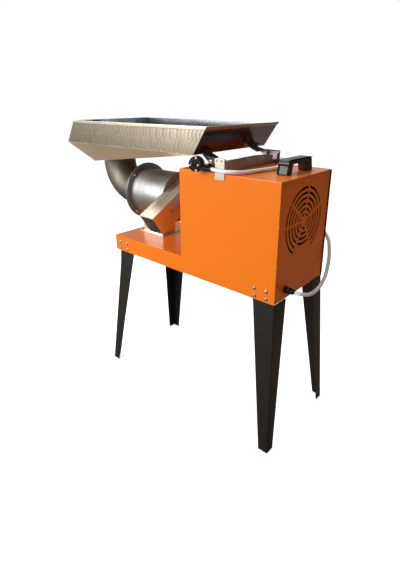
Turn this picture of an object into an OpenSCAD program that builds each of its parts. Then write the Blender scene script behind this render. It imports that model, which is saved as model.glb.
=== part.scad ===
// Electric fruit crusher and destemmer on four legs.
// A drum with an inner beater rotor is fed along its axis by a pipe elbow under a
// tilting hopper. Must drops through the deck, stems leave by the side chute.
// X runs from the drum to the vented end, Y across the machine, Z up. The origin is
// the centre of the footprint, on the floor.

/* [Cabinet] */
// Length of the tall motor cabinet
cab_l = 292; // [270:1:360]
// Width of cabinet and deck
cab_w = 231; // [205:1:280]
// Height of the motor cabinet above its lower edge
cab_h = 280; // [262:1:336]
// Length of the low deck in front of the cabinet
deck_l = 285; // [270:1:342]
// Height of the deck skirt
deck_h = 46.5; // [38:0.5:50]
// Sheet steel thickness of panels
sheet = 2; // [1.5:0.5:3]
// Width of the folded flanges behind the rear panel
flange_w = 18; // [15:1:24]
// Depth by which the rear panel sits inside its frame
rear_inset = 3; // [2:0.5:6]

/* [Legs] */
// Length of a leg below the cabinet
leg_h = 392; // [327:1:470]
// Sheet thickness of a leg
leg_t = 2.5; // [2:0.5:4]
// Flange width of a leg at its top, along the machine
leg_top = 60; // [50:1:70]
// Flange width of a leg at its top, across the machine
leg_top_y = 50; // [42:1:60]
// Flange width of a leg at the floor
leg_foot = 26; // [20:1:32]
// Outward splay of the rear legs at the floor, along the machine
splay_rear = 22; // [10:1:30]
// Outward splay of the front legs at the floor, along the machine
splay_front = 42; // [20:1:50]
// Outward splay of all legs at the floor, across the machine
splay_side = 31; // [15:1:31]
// Distance of the front legs from the deck end
leg_front_in = 21; // [10:1:30]
// Height of the leg tab bolted inside the side panel
tab_h = 38; // [34:1:42]
// Thread radius of the leg bolts
leg_bolt_r = 3; // [2.5:0.5:4]

/* [Vent] */
// Radius of the outermost ring of slots in the rear panel
vent_r = 82; // [60:1:88]
// Radial pitch of the slot rings
vent_pitch = 12.5; // [11:0.5:14]
// Width of one slot
vent_slot = 5.5; // [4:0.5:7]
// Width of the spokes between slots
vent_spoke = 6; // [4:0.5:12]
// Height of the vent centre above the drive axis
vent_up = 2; // [0:1:6]

/* [Drum] */
// Height of the drive axis above the cabinet's lower edge
axis_z = 171; // [160:1:176]
// Outer radius of the drum casing
drum_r = 70; // [64:1:74]
// Length of the drum casing
drum_l = 142.5; // [120:0.5:146]
// Distance from the cabinet to the drum's rear disc
drum_gap = 112; // [104:1:118]
// Radius of the bolted front plates
plate_r = 86; // [84:1:92]
// Wall of drum, elbow and chute
wall = 1.5; // [1:0.5:2.5]
// Thickness of the plates and discs
plate_t = 2; // [1.5:0.5:3]
// Thickness of the flange gasket
gasket_t = 1.5; // [1:0.5:3]
// Outer radius of the perforated screen
screen_r = 62; // [56:1:62]
// Radius of the holes in the screen
screen_hole_r = 10; // [6:1:11]
// Rings of holes along the screen
screen_rows = 4; // [2:1:4]
// Bolts around the front plates
flange_bolts_n = 4; // [4:1:8]

/* [Feed elbow] */
// Outer radius of the elbow tube
elbow_r = 50.8; // [44:0.1:54]
// Centreline radius of the elbow bend
bend_r = 86; // [76:1:87]
// Straight length between bend and front plate
elbow_run = 44; // [30:1:60]

/* [Hopper] */
// Length of the hopper rim
rim_l = 526; // [440:1:560]
// Width of the hopper
hop_w = 291; // [255:1:300]
// Height of the hopper's upright walls
wall_h = 64.5; // [50:0.5:80]
// Lean of the end walls over their height
lean = 42; // [30:1:48]
// Depth of the valley below the upright walls
valley_h = 58.5; // [50:0.5:62]
// Inset of the lower side panels at the valley
valley_in = 50; // [30:1:60]
// Height of the hemmed rim
hem_h = 8; // [5:1:12]
// Sheet thickness of the hopper
hop_t = 1.5; // [1:0.5:2.5]
// Depth to which the outlet spigot dips into the elbow
spigot_dip = 12; // [6:1:16]
// Radial clearance of the spigot in the elbow
spigot_gap = 2.8; // [2:0.1:4]

/* [Hopper hinge] */
// Distance of the pivot axis from the cabinet's vented end
pivot_back = 188; // [180:1:192]
// Height of the pivot axis above the cabinet top
pivot_up = 25; // [23:0.5:28]
// Radius of the pivot bolt
pivot_r = 4; // [3:0.5:5]
// Thickness of arms and ears
ear_t = 3; // [2:0.5:4]
// Height of the ears above the cabinet top
ear_up = 34; // [32:1:36]
// Length of the strap below the cabinet top
strap_down = 15; // [10:1:24]
// Width of the strap
strap_w = 28; // [24:1:32]
// Rise of the arched cross plate above its ends
web_arch = 6; // [2:1:10]

/* [Chute] */
// Width of the chute along the machine
chute_w = 53; // [46:1:60]
// Height of the chute's mouth, square to the flow
chute_h = 62.6; // [52:0.1:66]
// Slope of the chute in degrees
chute_slope = 28.4; // [22:0.1:34]
// Reach of the chute's top edge past the side panel
chute_reach = 43; // [36:1:46]
// Height of the chute's top edge at the mouth
chute_top_z = 147; // [142:1:156]

/* [Must outlet] */
// Length of the must duct under the drum
duct_l = 86; // [70:1:94]
// Distance of the duct's front wall behind the drum's front end
duct_in = 5.5; // [4:0.5:10]
// Width of the must duct
duct_w = 56; // [44:1:60]
// Width of the duct's flange on the deck
duct_flange = 9; // [8:1:12]
// Length of the duct below the deck's top face
duct_drop = 38; // [30:1:44]

/* [Drive] */
// Radius of the rotor shaft
shaft_r = 10; // [8:0.5:11]
// Radius of the motor shaft
mshaft_r = 9; // [7:0.5:9.5]
// Outer radius of the motor housing
motor_r = 60; // [54:1:66]
// Length of the motor housing
motor_l = 165; // [138:1:198]
// Outer radius of the bearing neck
neck_r = 26; // [25:1:27]
// Radius of the beater paddles
paddle_r = 54; // [45:1:55]
// Paddles along the shaft
paddles_n = 8; // [4:1:10]

/* [Fittings] */
// Length of the carrying handle
handle_l = 118; // [100:1:140]
// Height of the carrying handle
handle_h = 34; // [30:1:42]
// Depth of the carrying handle's grip
handle_w = 27; // [22:1:32]
// Diameter of the mains lead
lead_d = 9; // [7:0.5:9]
// Radius of the plug body
plug_r = 18.5; // [17:0.5:18.5]
// Length of the switch housing
switch_l = 60; // [54:1:72]
// Travel of the switch buttons
button_travel = 3; // [2:0.5:4]

/* [Hidden] */
$fn = 64;
fit = 0.3;        // clearance between separate pieces that meet on curved faces
run = 0.05;       // radial running clearance of shafts and pins
seat = 0.1;       // radial clearance of bolts and rings in their seats
over = 1;         // overshoot of cuts
half_w = cab_w / 2;
deck_x = -cab_l - deck_l;

// Hopper profile, from the pivot end
piv = [-pivot_back, cab_h + pivot_up];
rim_x1 = piv[0] + 12;
rim_x0 = rim_x1 - rim_l;
rim_z = cab_h + 104;
knee_z = rim_z - wall_h;
valley_z = knee_z - valley_h;
valley_y = hop_w / 2 - valley_in;

// Drum stations along X
disc_x = -cab_l - drum_gap;              // rear face of the rear disc
drum_x1 = disc_x - plate_t;
drum_x0 = drum_x1 - drum_l;
plate_x = drum_x0 - gasket_t;            // face of the inlet plate on the gasket
bend_x = plate_x - plate_t - elbow_run;  // start of the bend
elbow_x = bend_x - bend_r;               // centre of the elbow's mouth
elbow_top = valley_z - fit;
hop_prof = [[rim_x0, rim_z], [rim_x1, rim_z], [rim_x1 - lean, knee_z],
            [elbow_x, valley_z], [rim_x0 - lean, knee_z]];
hop_cross = [[-hop_w / 2, rim_z], [hop_w / 2, rim_z], [hop_w / 2, knee_z],
             [valley_y, valley_z], [-valley_y, valley_z], [-hop_w / 2, knee_z]];

// Chute profile in the YZ plane
tan_c = tan(chute_slope);
ch_top = [-half_w - chute_reach, chute_top_z];
ch_cut = 34.7;                           // mouth leans back by this angle
ch_edge = chute_h / cos(ch_cut - chute_slope);
ch_bot = ch_top + ch_edge * [sin(ch_cut), -cos(ch_cut)];
box_h = 38;                              // half size of the discharge box round the axis
ch_in = [0, ch_top[1] - ch_top[0] * tan_c];
ch_low = [ch_bot[0] + (axis_z - box_h - ch_bot[1]) / tan_c, axis_z - box_h];
chute_prof = [ch_top, ch_in, [box_h, axis_z + box_h - 4], [box_h, axis_z - box_h],
              ch_low, ch_bot];

// Extent of the whole object without its lead, for the origin
foot_y = half_w - sheet + splay_side;
x_lo = rim_x0 - lean;
x_hi = splay_rear;
y_lo = ch_top[0];
y_hi = max(foot_y, hop_w / 2 + hop_t);
origin = [-(x_lo + x_hi) / 2, -(y_lo + y_hi) / 2, leg_h];

// Drive stations along X
neck_x0 = disc_x + chute_w;
neck_x1 = -cab_l;
neck_in = neck_r - 5;
neck_flange_r = 36;
bulk_x = -cab_l + sheet;
shield_t = 6;
shield_x = bulk_x + 2 * shield_t;
motor_x1 = shield_x + motor_l;
cowl_l = 42;
cap_r = 18;

// Hinge stations across Y
arm_y = half_w - ear_t - fit - ear_t;    // inner face of an arm
web_x = piv[0] + 26;
strap_x0 = piv[0] + 12;

handle_y = 13.5;                         // handle centre off the mid-plane
handle_x = -43.5;
gland_y = -68.5;
gland_z = 24;
switch_x = -220;
switch_z = 175;
plug_c = [-222, cab_h + fit + plug_r];   // plug centre in XZ
plug_y = -half_w - 9.5;                  // middle of the plug body
plug_turn = 27;                          // the pin face looks outwards and to the rear
lead_z = 289.5;                          // height of the lead at the plug

// Route of the lead from the gland to the plug, in the cabinet's frame
lead_path = [
    [24, -68.5, 24], [36, -66, 23], [43, -52, 19], [45, -36, 15], [45, -15, 13],
    [44, 6, 14], [42, 26, 18], [40, 42, 24], [37, 58, 34], [32, 76, 49],
    [26, 92, 67], [17, 107, 87], [7, 119, 102], [-8, 125, 116], [-26, 127, 129],
    [-46, 127, 143], [-68, 126, 160], [-90, 125, 180], [-109, 125, 203],
    [-124, 125, 228], [-133, 126, 252], [-138, 126, 272], [-140, 121, 287],
    [-137, 109, 293], [-129, 92, 291], [-118, 72, 287], [-106, 50, 285.2],
    [-97, 26, 285], [-95, 2, 285], [-99, -22, 285], [-105, -46, 285],
    [-108, -70, 285], [-112, -92, 285.4], [-121, -110, 287], [-136, -121, 287.5],
    [-152, -123.2, 287.5], [-167, -123, 288], [-180, -122.5, 289.5]];

// ---------------------------------------------------------------- helpers

// Moves a piece from the cabinet's frame to the footprint's frame
module machine() translate(origin) children();

// Extrudes an XZ profile across the machine, from y0 to y1
module across(y0, y1) translate([0, y1, 0]) rotate([90, 0, 0])
    linear_extrude(y1 - y0) children();

// Extrudes a YZ profile along the machine, from x0 to x1
module along(x0, x1) translate([x0, 0, 0]) rotate([90, 0, 90])
    linear_extrude(x1 - x0) children();

// Cylinder along X on the drive axis
module rod(x0, x1, r) translate([x0, 0, axis_z]) rotate([0, 90, 0])
    cylinder(r = r, h = x1 - x0);

// Tube along X on the drive axis
module pipe(x0, x1, r, bore) difference() {
    rod(x0, x1, r);
    rod(x0 - over, x1 + over, bore);
}

// Cylinder along X at a point
module pin_x(p, h, r) translate(p) rotate([0, 90, 0]) cylinder(r = r, h = h);

// Cylinder along Y at a point
module pin_y(p, h, r) translate(p) rotate([-90, 0, 0]) cylinder(r = r, h = h);

// Moves every edge of a closed outline inwards by d; the outline runs clockwise
function edge_n(a, b) = [b[1] - a[1], a[0] - b[0]] / norm(b - a);
function cross2(a, b) = a[0] * b[1] - a[1] * b[0];
function meet(p, u, q, v) = p + u * (cross2(q - p, v) / cross2(u, v));
function inset(pts, d) = [for (i = [0 : len(pts) - 1])
    let (a = pts[(i + len(pts) - 1) % len(pts)], b = pts[i], c = pts[(i + 1) % len(pts)],
         n1 = edge_n(a, b), n2 = edge_n(b, c))
    meet(b + n1 * d, b - a, b + n2 * d, c - b)];

// Plate between four corners, thickened by the vector t
module slab(q, t) polyhedron(
    points = concat(q, [for (p = q) p + t]),
    faces = [[0, 1, 2, 3], [7, 6, 5, 4], [0, 4, 5, 1], [1, 5, 6, 2], [2, 6, 7, 3],
             [3, 7, 4, 0]]);

// Domed screw head along +Z
module dome(r, h) intersection() {
    translate([0, 0, h - (r * r + h * h) / (2 * h)]) sphere(r = (r * r + h * h) / (2 * h));
    cylinder(r = r, h = h);
}

// ---------------------------------------------------------------- cabinet

leg_x = [-leg_top / 2 - 9, deck_x + leg_front_in + 17];   // centres of the leg bolt groups
leg_bolt_dx = 16;
leg_bolt_z = [9, 28];

module leg_bolt_holes(y0, y1) for (x = leg_x, s = [-1, 1], z = leg_bolt_z)
    pin_y([x + s * leg_bolt_dx, y0, z], y1 - y0, leg_bolt_r + seat);

rear_x1 = -rear_inset;
rear_x0 = rear_x1 - sheet;
flange_x = rear_x0 - sheet;
panel_gap = 0.5;
screw_r = 1.8;
// Rear panel screws as [y, z]: three along the top, two down each side
rear_screws = concat([for (y = [-1, 0, 1]) [y * (half_w - 15), cab_h - 10]],
    [for (s = [-1, 1], z = [0.32, 0.635]) [s * (half_w - 8), cab_h * z]]);

module rear_screw_holes(r) for (p = rear_screws)
    pin_x([flange_x - over, p[0], p[1]], 2 * sheet + 2 * over, r);

module side_sheet() {
    difference() {
        across(-half_w, -half_w + sheet) polygon([[deck_x, 0], [0, 0],
            [0, cab_h - sheet], [-cab_l, cab_h - sheet], [-cab_l, deck_h - sheet],
            [deck_x, deck_h - sheet]]);
        leg_bolt_holes(-half_w - over, -half_w + sheet + over);
    }
    difference() {
        translate([flange_x, -half_w + sheet, 0])
            cube([sheet, flange_w, cab_h - 2 * sheet]);
        rear_screw_holes(screw_r + seat);
    }
}

module near_side_panel() machine() color("darkorange") side_sheet();

module far_side_panel() machine() color("darkorange") difference() {
    mirror([0, 1, 0]) side_sheet();
    // way for the switch wires
    pin_y([switch_x, half_w - sheet - over, switch_z], sheet + 2 * over, 8);
}

module handle_holes(z0, z1, r) for (s = [-1, 1])
    translate([handle_x, handle_y + s * (handle_l / 2 - 10), z0]) cylinder(r = r, h = z1 - z0);

module web_screw_holes(z0, z1, r) for (y = [-60, 60])
    translate([web_x - 9, y, z0]) cylinder(r = r, h = z1 - z0);

module top_panel() machine() color("darkorange") {
    difference() {
        translate([-cab_l, -half_w, cab_h - sheet]) cube([cab_l, cab_w, sheet]);
        handle_holes(cab_h - sheet - over, cab_h + over, 2.5 + seat);
        web_screw_holes(cab_h - sheet - over, cab_h + over, 2 + seat);
    }
    difference() {
        translate([flange_x, -half_w + sheet + flange_w + panel_gap, cab_h - sheet - flange_w])
            cube([sheet, cab_w - 2 * (sheet + flange_w + panel_gap), flange_w]);
        rear_screw_holes(screw_r + seat);
    }
}

neck_bolt_r = 2;
neck_pcd = neck_flange_r - 5;
module neck_bolt_places() for (a = [45 : 90 : 315])
    translate([0, neck_pcd * cos(a), axis_z + neck_pcd * sin(a)]) rotate([0, 90, 0])
        children();

motor_bolt_r = 3;
motor_flange_r = motor_r + 18;
motor_pcd = motor_r + 10;
module motor_bolt_places() for (a = [45 : 90 : 315])
    translate([0, motor_pcd * cos(a), axis_z + motor_pcd * sin(a)]) rotate([0, 90, 0])
        children();

module bulkhead_panel() machine() color("chocolate") difference() {
    translate([-cab_l, -half_w + sheet, deck_h])
        cube([sheet, cab_w - 2 * sheet, cab_h - sheet - deck_h]);
    rod(-cab_l - over, bulk_x + over, neck_in);
    neck_bolt_places() translate([0, 0, -cab_l - over])
        cylinder(r = neck_bolt_r + seat, h = sheet + 2 * over);
    motor_bolt_places() translate([0, 0, -cab_l - over])
        cylinder(r = motor_bolt_r + seat, h = sheet + 2 * over);
}

duct_x0 = drum_x0 + duct_in;
duct_x1 = duct_x0 + duct_l;
duct_bolt_r = 2.5;
module duct_bolt_places() for (x = [duct_x0 - duct_flange / 2, duct_x1 + duct_flange / 2],
    s = [-1, 1]) translate([x, s * (duct_w / 2 + duct_flange / 2 - 1), 0]) children();

module deck_plate() machine() color("darkorange") difference() {
    translate([deck_x, -half_w, deck_h - sheet]) cube([deck_l + sheet, cab_w, sheet]);
    // the cabinet's side sheets pass up beside the deck's last strip
    for (s = [-1, 1]) translate([-cab_l, s * half_w, deck_h - sheet / 2])
        cube([4 * sheet, 2 * sheet, 2 * sheet], center = true);
    translate([duct_x0 - fit, -duct_w / 2 - fit, deck_h - sheet - over])
        cube([duct_l + 2 * fit, duct_w + 2 * fit, sheet + 2 * over]);
    duct_bolt_places() translate([0, 0, deck_h - sheet - over])
        cylinder(r = duct_bolt_r + seat, h = sheet + 2 * over);
}

module deck_skirt() machine() color("darkorange")
    translate([deck_x, -half_w + sheet, 0]) cube([sheet, cab_w - 2 * sheet, deck_h - sheet]);

spokes = [20, 80, 140, 180, 240, 300];
module vent_slots() for (i = [0 : floor(vent_r / vent_pitch) - 1])
    let (r = vent_r - i * vent_pitch) difference() {
        circle(r = r, $fn = 96);
        circle(r = r - vent_slot, $fn = 96);
        for (a = spokes) rotate(a) translate([0, -vent_spoke / 2])
            square([r + over, vent_spoke]);
        // the two widest rings stop short of the lowest sector
        if (i < 2) polygon([[0, 0], 2 * r * [cos(240), sin(240)],
            [0, -2 * r], 2 * r * [cos(300), sin(300)]]);
    }

module rear_panel() machine() color("saddlebrown") difference() {
    translate([rear_x0, -half_w + sheet + panel_gap, panel_gap])
        cube([sheet, cab_w - 2 * (sheet + panel_gap), cab_h - sheet - 2 * panel_gap]);
    rear_screw_holes(screw_r + seat);
    translate([0, 0, axis_z + vent_up]) along(rear_x0 - over, rear_x1 + over) vent_slots();
    pin_x([rear_x0 - over, gland_y, gland_z], sheet + 2 * over, 6 + seat);
}

module rear_panel_screws() machine() color("silver") for (p = rear_screws)
    translate([rear_x1, p[0], p[1]]) rotate([0, 90, 0]) {
        dome(3.4, 2.4);
        translate([0, 0, -2 * sheet - 3]) cylinder(r = screw_r, h = 2 * sheet + 3 + 0.01);
    }

// ---------------------------------------------------------------- legs

// Near leg whose fold stands at x = fx; dir is +1 for a leg that splays to the rear
module leg_blades(fx, dir, splay) {
    y0 = -half_w + sheet;
    y1 = -foot_y;
    f0 = [fx, y0, -fit];
    f1 = [fx + dir * splay, y1, -leg_h];
    a0 = f0 - [dir * leg_top, 0, 0];
    a1 = f1 - [dir * leg_foot, 0, 0];
    b0 = f0 + [0, leg_top_y, 0];
    b1 = f1 + [0, leg_foot, 0];
    slab(dir > 0 ? [a0, f0, f1, a1] : [f0, a0, a1, f1], [0, leg_t, 0]);
    slab(dir > 0 ? [f0, b0, b1, f1] : [b0, f0, f1, b1], [-dir * leg_t, 0, 0]);
}

module leg_tab(cx, w) difference() {
    translate([cx - w / 2, -half_w + sheet, -over]) cube([w, leg_t, tab_h + over]);
    leg_bolt_holes(-half_w, -half_w + sheet + leg_t + over);
}

tab_w = leg_top;
module leg_rear() {
    leg_blades(0, 1, splay_rear);
    leg_tab(leg_x[0], tab_w);
}

module leg_front() {
    leg_blades(deck_x + leg_front_in, -1, splay_front);
    leg_tab(leg_x[1], tab_w);
}

module leg_near_rear() machine() color("dimgray") leg_rear();
module leg_far_rear() machine() color("dimgray") mirror([0, 1, 0]) leg_rear();
module leg_near_front() machine() color("dimgray") leg_front();
module leg_far_front() machine() color("dimgray") mirror([0, 1, 0]) leg_front();

module leg_bolts() machine() color("silver") for (m = [0, 1]) mirror([0, m, 0])
    for (x = leg_x, s = [-1, 1], z = leg_bolt_z)
        translate([x + s * leg_bolt_dx, -half_w, z]) rotate([90, 0, 0]) {
            dome(5, 3.2);
            translate([0, 0, -sheet - leg_t - 6])
                cylinder(r = leg_bolt_r, h = sheet + leg_t + 6 + 0.01);
            translate([0, 0, -sheet - leg_t - 5]) cylinder(r = 5.5, h = 5, $fn = 6);
        }

// ---------------------------------------------------------------- handle

handle_rise = [for (a = [90 : -15 : 0]) [handle_l / 2 - 16 + 10 * cos(a),
    handle_h - 10 + 10 * sin(a)]];
module carry_handle() machine() color("#1c1c1e") difference() {
    translate([0, handle_y, cab_h]) along(handle_x - handle_w / 2, handle_x + handle_w / 2)
        difference() {
            polygon(concat([for (i = [len(handle_rise) - 1 : -1 : 0])
                [-handle_rise[i][0], handle_rise[i][1]]], handle_rise,
                [[handle_l / 2, 0], [-handle_l / 2, 0]]));
            polygon([[-handle_l / 2 + 22, -over], [-handle_l / 2 + 28, handle_h - 12],
                [handle_l / 2 - 28, handle_h - 12], [handle_l / 2 - 22, -over]]);
        }
    handle_holes(cab_h - over, cab_h + 14, 2.5 + seat);
}

module handle_screws() machine() color("silver") {
    handle_holes(cab_h - sheet - 0.01, cab_h + 12, 2.5);
    handle_holes(cab_h - sheet - 4, cab_h - sheet, 4.5);
}

// ---------------------------------------------------------------- hinge

ear_x0 = piv[0] - 9;
ear_x1 = strap_x0 + strap_w;
strap_screw_x = [strap_x0 + 6, ear_x1 - 8];
strap_screw_z = cab_h + ear_up - 5;

module strap_screw_holes(y0, y1, r) for (x = strap_screw_x)
    pin_y([x, y0, strap_screw_z], y1 - y0, r);

module ear() difference() {
    across(-half_w, -half_w + ear_t) polygon([[ear_x0, cab_h], [ear_x1, cab_h],
        [ear_x1, cab_h + ear_up], [ear_x0 + 6, cab_h + ear_up], [ear_x0, cab_h + ear_up - 6]]);
    pin_y([piv[0], -half_w - over, piv[1]], ear_t + 2 * over, pivot_r + seat);
    strap_screw_holes(-half_w - over, -half_w + ear_t + over, 1.5 + seat);
}

module strap() difference() {
    translate([strap_x0, -half_w - sheet, cab_h - strap_down])
        cube([strap_w, sheet, strap_down + ear_up]);
    strap_screw_holes(-half_w - sheet - over, -half_w + over, 1.5 + seat);
}

module hinge_ear_near() machine() color("gray") ear();
module hinge_ear_far() machine() color("gray") mirror([0, 1, 0]) ear();
module ear_strap_near() machine() color("gainsboro") strap();
module ear_strap_far() machine() color("gainsboro") mirror([0, 1, 0]) strap();

module strap_screws() machine() color("silver") for (m = [0, 1]) mirror([0, m, 0])
    for (x = strap_screw_x) translate([x, -half_w - sheet, strap_screw_z])
        rotate([90, 0, 0]) {
            dome(2.8, 1.6);
            translate([0, 0, -sheet - ear_t]) cylinder(r = 1.5, h = sheet + ear_t + 0.01);
        }

module pivot_bolts() machine() color("silver") for (m = [0, 1]) mirror([0, m, 0])
    translate([piv[0], -half_w, piv[1]]) rotate([90, 0, 0]) {
        dome(7, 4.5);
        translate([0, 0, -2 * ear_t - 2 * fit - 6])
            cylinder(r = pivot_r, h = 2 * ear_t + 2 * fit + 6 + 0.01);
        translate([0, 0, -2 * ear_t - 2 * fit - 5]) cylinder(r = 7, h = 5, $fn = 6);
    }

web_half = arm_y - 8;
module hinge_cross_plate() machine() color("gray") difference() {
    union() {
        // upright plate with an arched top edge
        along(web_x, web_x + sheet) polygon(concat(
            [for (i = [-10 : 10]) [i / 10 * web_half,
                cab_h + ear_up - 11 + web_arch * (1 - i * i / 100)]],
            [[web_half, cab_h], [-web_half, cab_h]]));
        translate([web_x - 18, -web_half, cab_h]) cube([18 + sheet, 2 * web_half, sheet]);
        // end tabs folded out to the ears, behind the arms
        for (s = [-1, 1]) translate([web_x, s * (web_half + half_w - ear_t) / 2, cab_h + 6])
            translate([0, -(half_w - ear_t - web_half) / 2 - over / 2, -6])
                cube([sheet, half_w - ear_t - web_half + over, 9]);
    }
    for (s = [-1, 1]) translate([web_x - over, s * (half_w - ear_t), cab_h - over])
        translate([0, s > 0 ? 0 : -2 * over, 0]) cube([sheet + 2 * over, 2 * over, 20]);
    web_screw_holes(cab_h - over, cab_h + sheet + over, 2 + seat);
}

// ---------------------------------------------------------------- hopper

module hop_body(d, top) intersection() {
    across(-hop_w, hop_w) polygon(top > 0 ? lift(inset(hop_prof, d), top) : inset(hop_prof, d));
    along(rim_x0 - 2 * lean, rim_x1 + lean)
        polygon(top > 0 ? lift(inset(hop_cross, d), top) : inset(hop_cross, d));
}

// Raises the two rim points of an outline, following the walls
function lift(p, up) = [for (i = [0 : len(p) - 1])
    i == 0 ? p[0] + (p[0] - p[len(p) - 1]) * (up / (p[0][1] - p[len(p) - 1][1])) :
    i == 1 ? p[1] + (p[1] - p[2]) * (up / (p[1][1] - p[2][1])) : p[i]];

spigot_r = elbow_r - wall - spigot_gap;
// Height at which the front lower panel passes over the spigot's foremost point
spigot_z = valley_z + (knee_z - valley_z) * (spigot_r + hop_t)
    / (elbow_x - rim_x0 + lean);
module spigot_rod(r, z0, z1) translate([elbow_x, 0, z0]) cylinder(r = r, h = z1 - z0);

module hopper_shell() machine() color("lightgray") {
    difference() {
        hop_body(0, 0);
        hop_body(hop_t, 20);
        spigot_rod(spigot_r - hop_t, valley_z - over, spigot_z);
    }
    // hemmed rim
    difference() {
        intersection() {
            hop_body(-hop_t, 0);
            translate([rim_x0 - 2 * lean, -hop_w, rim_z - hem_h])
                cube([rim_l + 4 * lean, 2 * hop_w, hem_h]);
        }
        hop_body(hop_t / 2, 20);
    }
    // outlet spigot
    difference() {
        spigot_rod(spigot_r, elbow_top - spigot_dip, knee_z);
        spigot_rod(spigot_r - hop_t, elbow_top - spigot_dip - over, knee_z + over);
        hop_body(hop_t / 2, 20);
    }
}

// Point on the outside of the rear wall at height z
function rear_wall(z) = [rim_x1 - lean * (rim_z - z) / wall_h, z];
wall_out = [wall_h, -lean] / norm([wall_h, lean]);   // square to the rear wall, outwards
tongue_w = 34;                           // width of the tongue across the machine
tongue_t = 2.5;
tongue_end = piv + [-7.5, 6.5];          // clear of the pivot nut
flap_root = rear_wall(knee_z) + tongue_t * wall_out + [0.6, 0.9];
tongue_drop = [-0.87, -2.35];
module arm() difference() {
    union() {
        // lug that turns on the pivot bolt
        across(-arm_y - ear_t, -arm_y) {
            polygon([rear_wall(knee_z), flap_root, piv + [6, 6.7], piv + [-6, -6.7],
                rear_wall(knee_z) + [0.4, -2.3]]);
            translate(piv) circle(r = 9);
        }
        // tongue folded inwards from the lug, its flap welded to the rear wall
        across(-arm_y - ear_t, -arm_y - ear_t + tongue_w) polygon([rear_wall(knee_z),
            rear_wall(knee_z + 9), rear_wall(knee_z + 9) + tongue_t * wall_out, flap_root,
            tongue_end, tongue_end + tongue_drop, rear_wall(knee_z) + [0.4, -2.3]]);
    }
    pin_y([piv[0], -half_w, piv[1]], 4 * ear_t, pivot_r + run);
}

module hopper_arm_near() machine() color("dimgray") arm();
module hopper_arm_far() machine() color("dimgray") mirror([0, 1, 0]) arm();

// ---------------------------------------------------------------- drum

flange_pcd = (plate_r + drum_r) / 2;
flange_bolt_r = 2.5;
module flange_bolt_places() for (i = [0 : flange_bolts_n - 1])
    let (a = 45 + i * 360 / flange_bolts_n)
    translate([0, flange_pcd * cos(a), axis_z + flange_pcd * sin(a)]) rotate([0, 90, 0])
        children();
module flange_bolt_holes(x0, x1) flange_bolt_places() translate([0, 0, x0 - over])
    cylinder(r = flange_bolt_r + seat, h = x1 - x0 + 2 * over);

module elbow_solid(r) {
    rod(bend_x, plate_x, r);
    translate([bend_x, 0, axis_z + bend_r]) rotate([90, 0, 0]) rotate([0, 0, 180])
        rotate_extrude(angle = 90) translate([bend_r, 0]) circle(r = r);
    translate([elbow_x, 0, axis_z + bend_r]) cylinder(r = r, h = elbow_top - axis_z - bend_r);
}

module feed_elbow() machine() color("silver") difference() {
    union() {
        elbow_solid(elbow_r);
        rod(plate_x - plate_t, plate_x, plate_r);
    }
    elbow_solid(elbow_r - wall);
    rod(plate_x - plate_t - over, plate_x + over, elbow_r - wall);
    translate([elbow_x, 0, elbow_top - over]) cylinder(r = elbow_r - wall, h = 2 * over);
    flange_bolt_holes(plate_x - plate_t, plate_x);
}

module flange_gasket() machine() color("#2a2a2a") difference() {
    pipe(plate_x, drum_x0, plate_r, drum_r);
    flange_bolt_holes(plate_x, drum_x0);
}

module flange_bolts() machine() color("silver") flange_bolt_places() {
    translate([0, 0, plate_x - plate_t - 3.5]) cylinder(r = 4.6, h = 3.5, $fn = 6);
    translate([0, 0, plate_x - plate_t - 0.01]) cylinder(r = flange_bolt_r,
        h = 2 * plate_t + gasket_t + 7);
    translate([0, 0, drum_x0 + plate_t]) cylinder(r = 4.6, h = 4, $fn = 6);
}

module drum_casing() machine() color("silver") difference() {
    union() {
        rod(drum_x0, drum_x1, drum_r);
        rod(drum_x0, drum_x0 + plate_t, plate_r);
    }
    rod(drum_x0 - over, drum_x1 + over, drum_r - wall);
    flange_bolt_holes(drum_x0, drum_x0 + plate_t);
    // must outlet
    translate([duct_x0 + wall, -duct_w / 2 + wall, axis_z - drum_r - over])
        cube([duct_l - 2 * wall, duct_w - 2 * wall, drum_r / 2]);
}

screen_in = screen_r - 1.2;
screen_pitch = (drum_l - 20) / screen_rows;
module drum_screen() machine() color("lightgray") difference() {
    pipe(plate_x + seat, drum_x1 - seat, screen_r, screen_in);
    for (i = [0 : screen_rows - 1], a = [0 : 45 : 315])
        translate([drum_x0 + 10 + (i + 0.5) * screen_pitch, 0, axis_z])
            rotate([a + (i % 2) * 22.5, 0, 0]) translate([0, 0, screen_in - 5])
                cylinder(r = screen_hole_r, h = 10);
}

// Opening from the drum into the discharge box
module stem_window() intersection() {
    translate([0, axis_z]) circle(r = screen_in - 3);
    polygon(inset(chute_prof, 2 * wall));
}

shaft_way = shaft_r + 2;
module drum_rear_disc() machine() color("dimgray") difference() {
    rod(drum_x1, disc_x, drum_r + 4);
    along(drum_x1 - over, disc_x + over) stem_window();
}

ch_bolt = [neck_x0, -half_w + 26, 155];
module discharge_chute() machine() color("gainsboro") difference() {
    along(disc_x, neck_x0) polygon(chute_prof);
    // hollow, open at the mouth
    along(disc_x + wall, neck_x0 - wall) polygon(
        let (p = inset(chute_prof, wall), s = [-60, -60 * tan_c])
        [p[0] + s, p[1], p[2], p[3], p[4], p[5] + s]);
    along(disc_x - over, disc_x + wall + over) stem_window();
    rod(neck_x0 - wall - over, neck_x0 + over, shaft_way);
    neck_bolt_places() translate([0, 0, neck_x0 - wall - over])
        cylinder(r = neck_bolt_r + seat, h = wall + 2 * over);
    for (x = [disc_x, neck_x0]) pin_x([x - wall - over, ch_bolt[1], ch_bolt[2]],
        2 * wall + 2 * over, 2 + seat);
}

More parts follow.
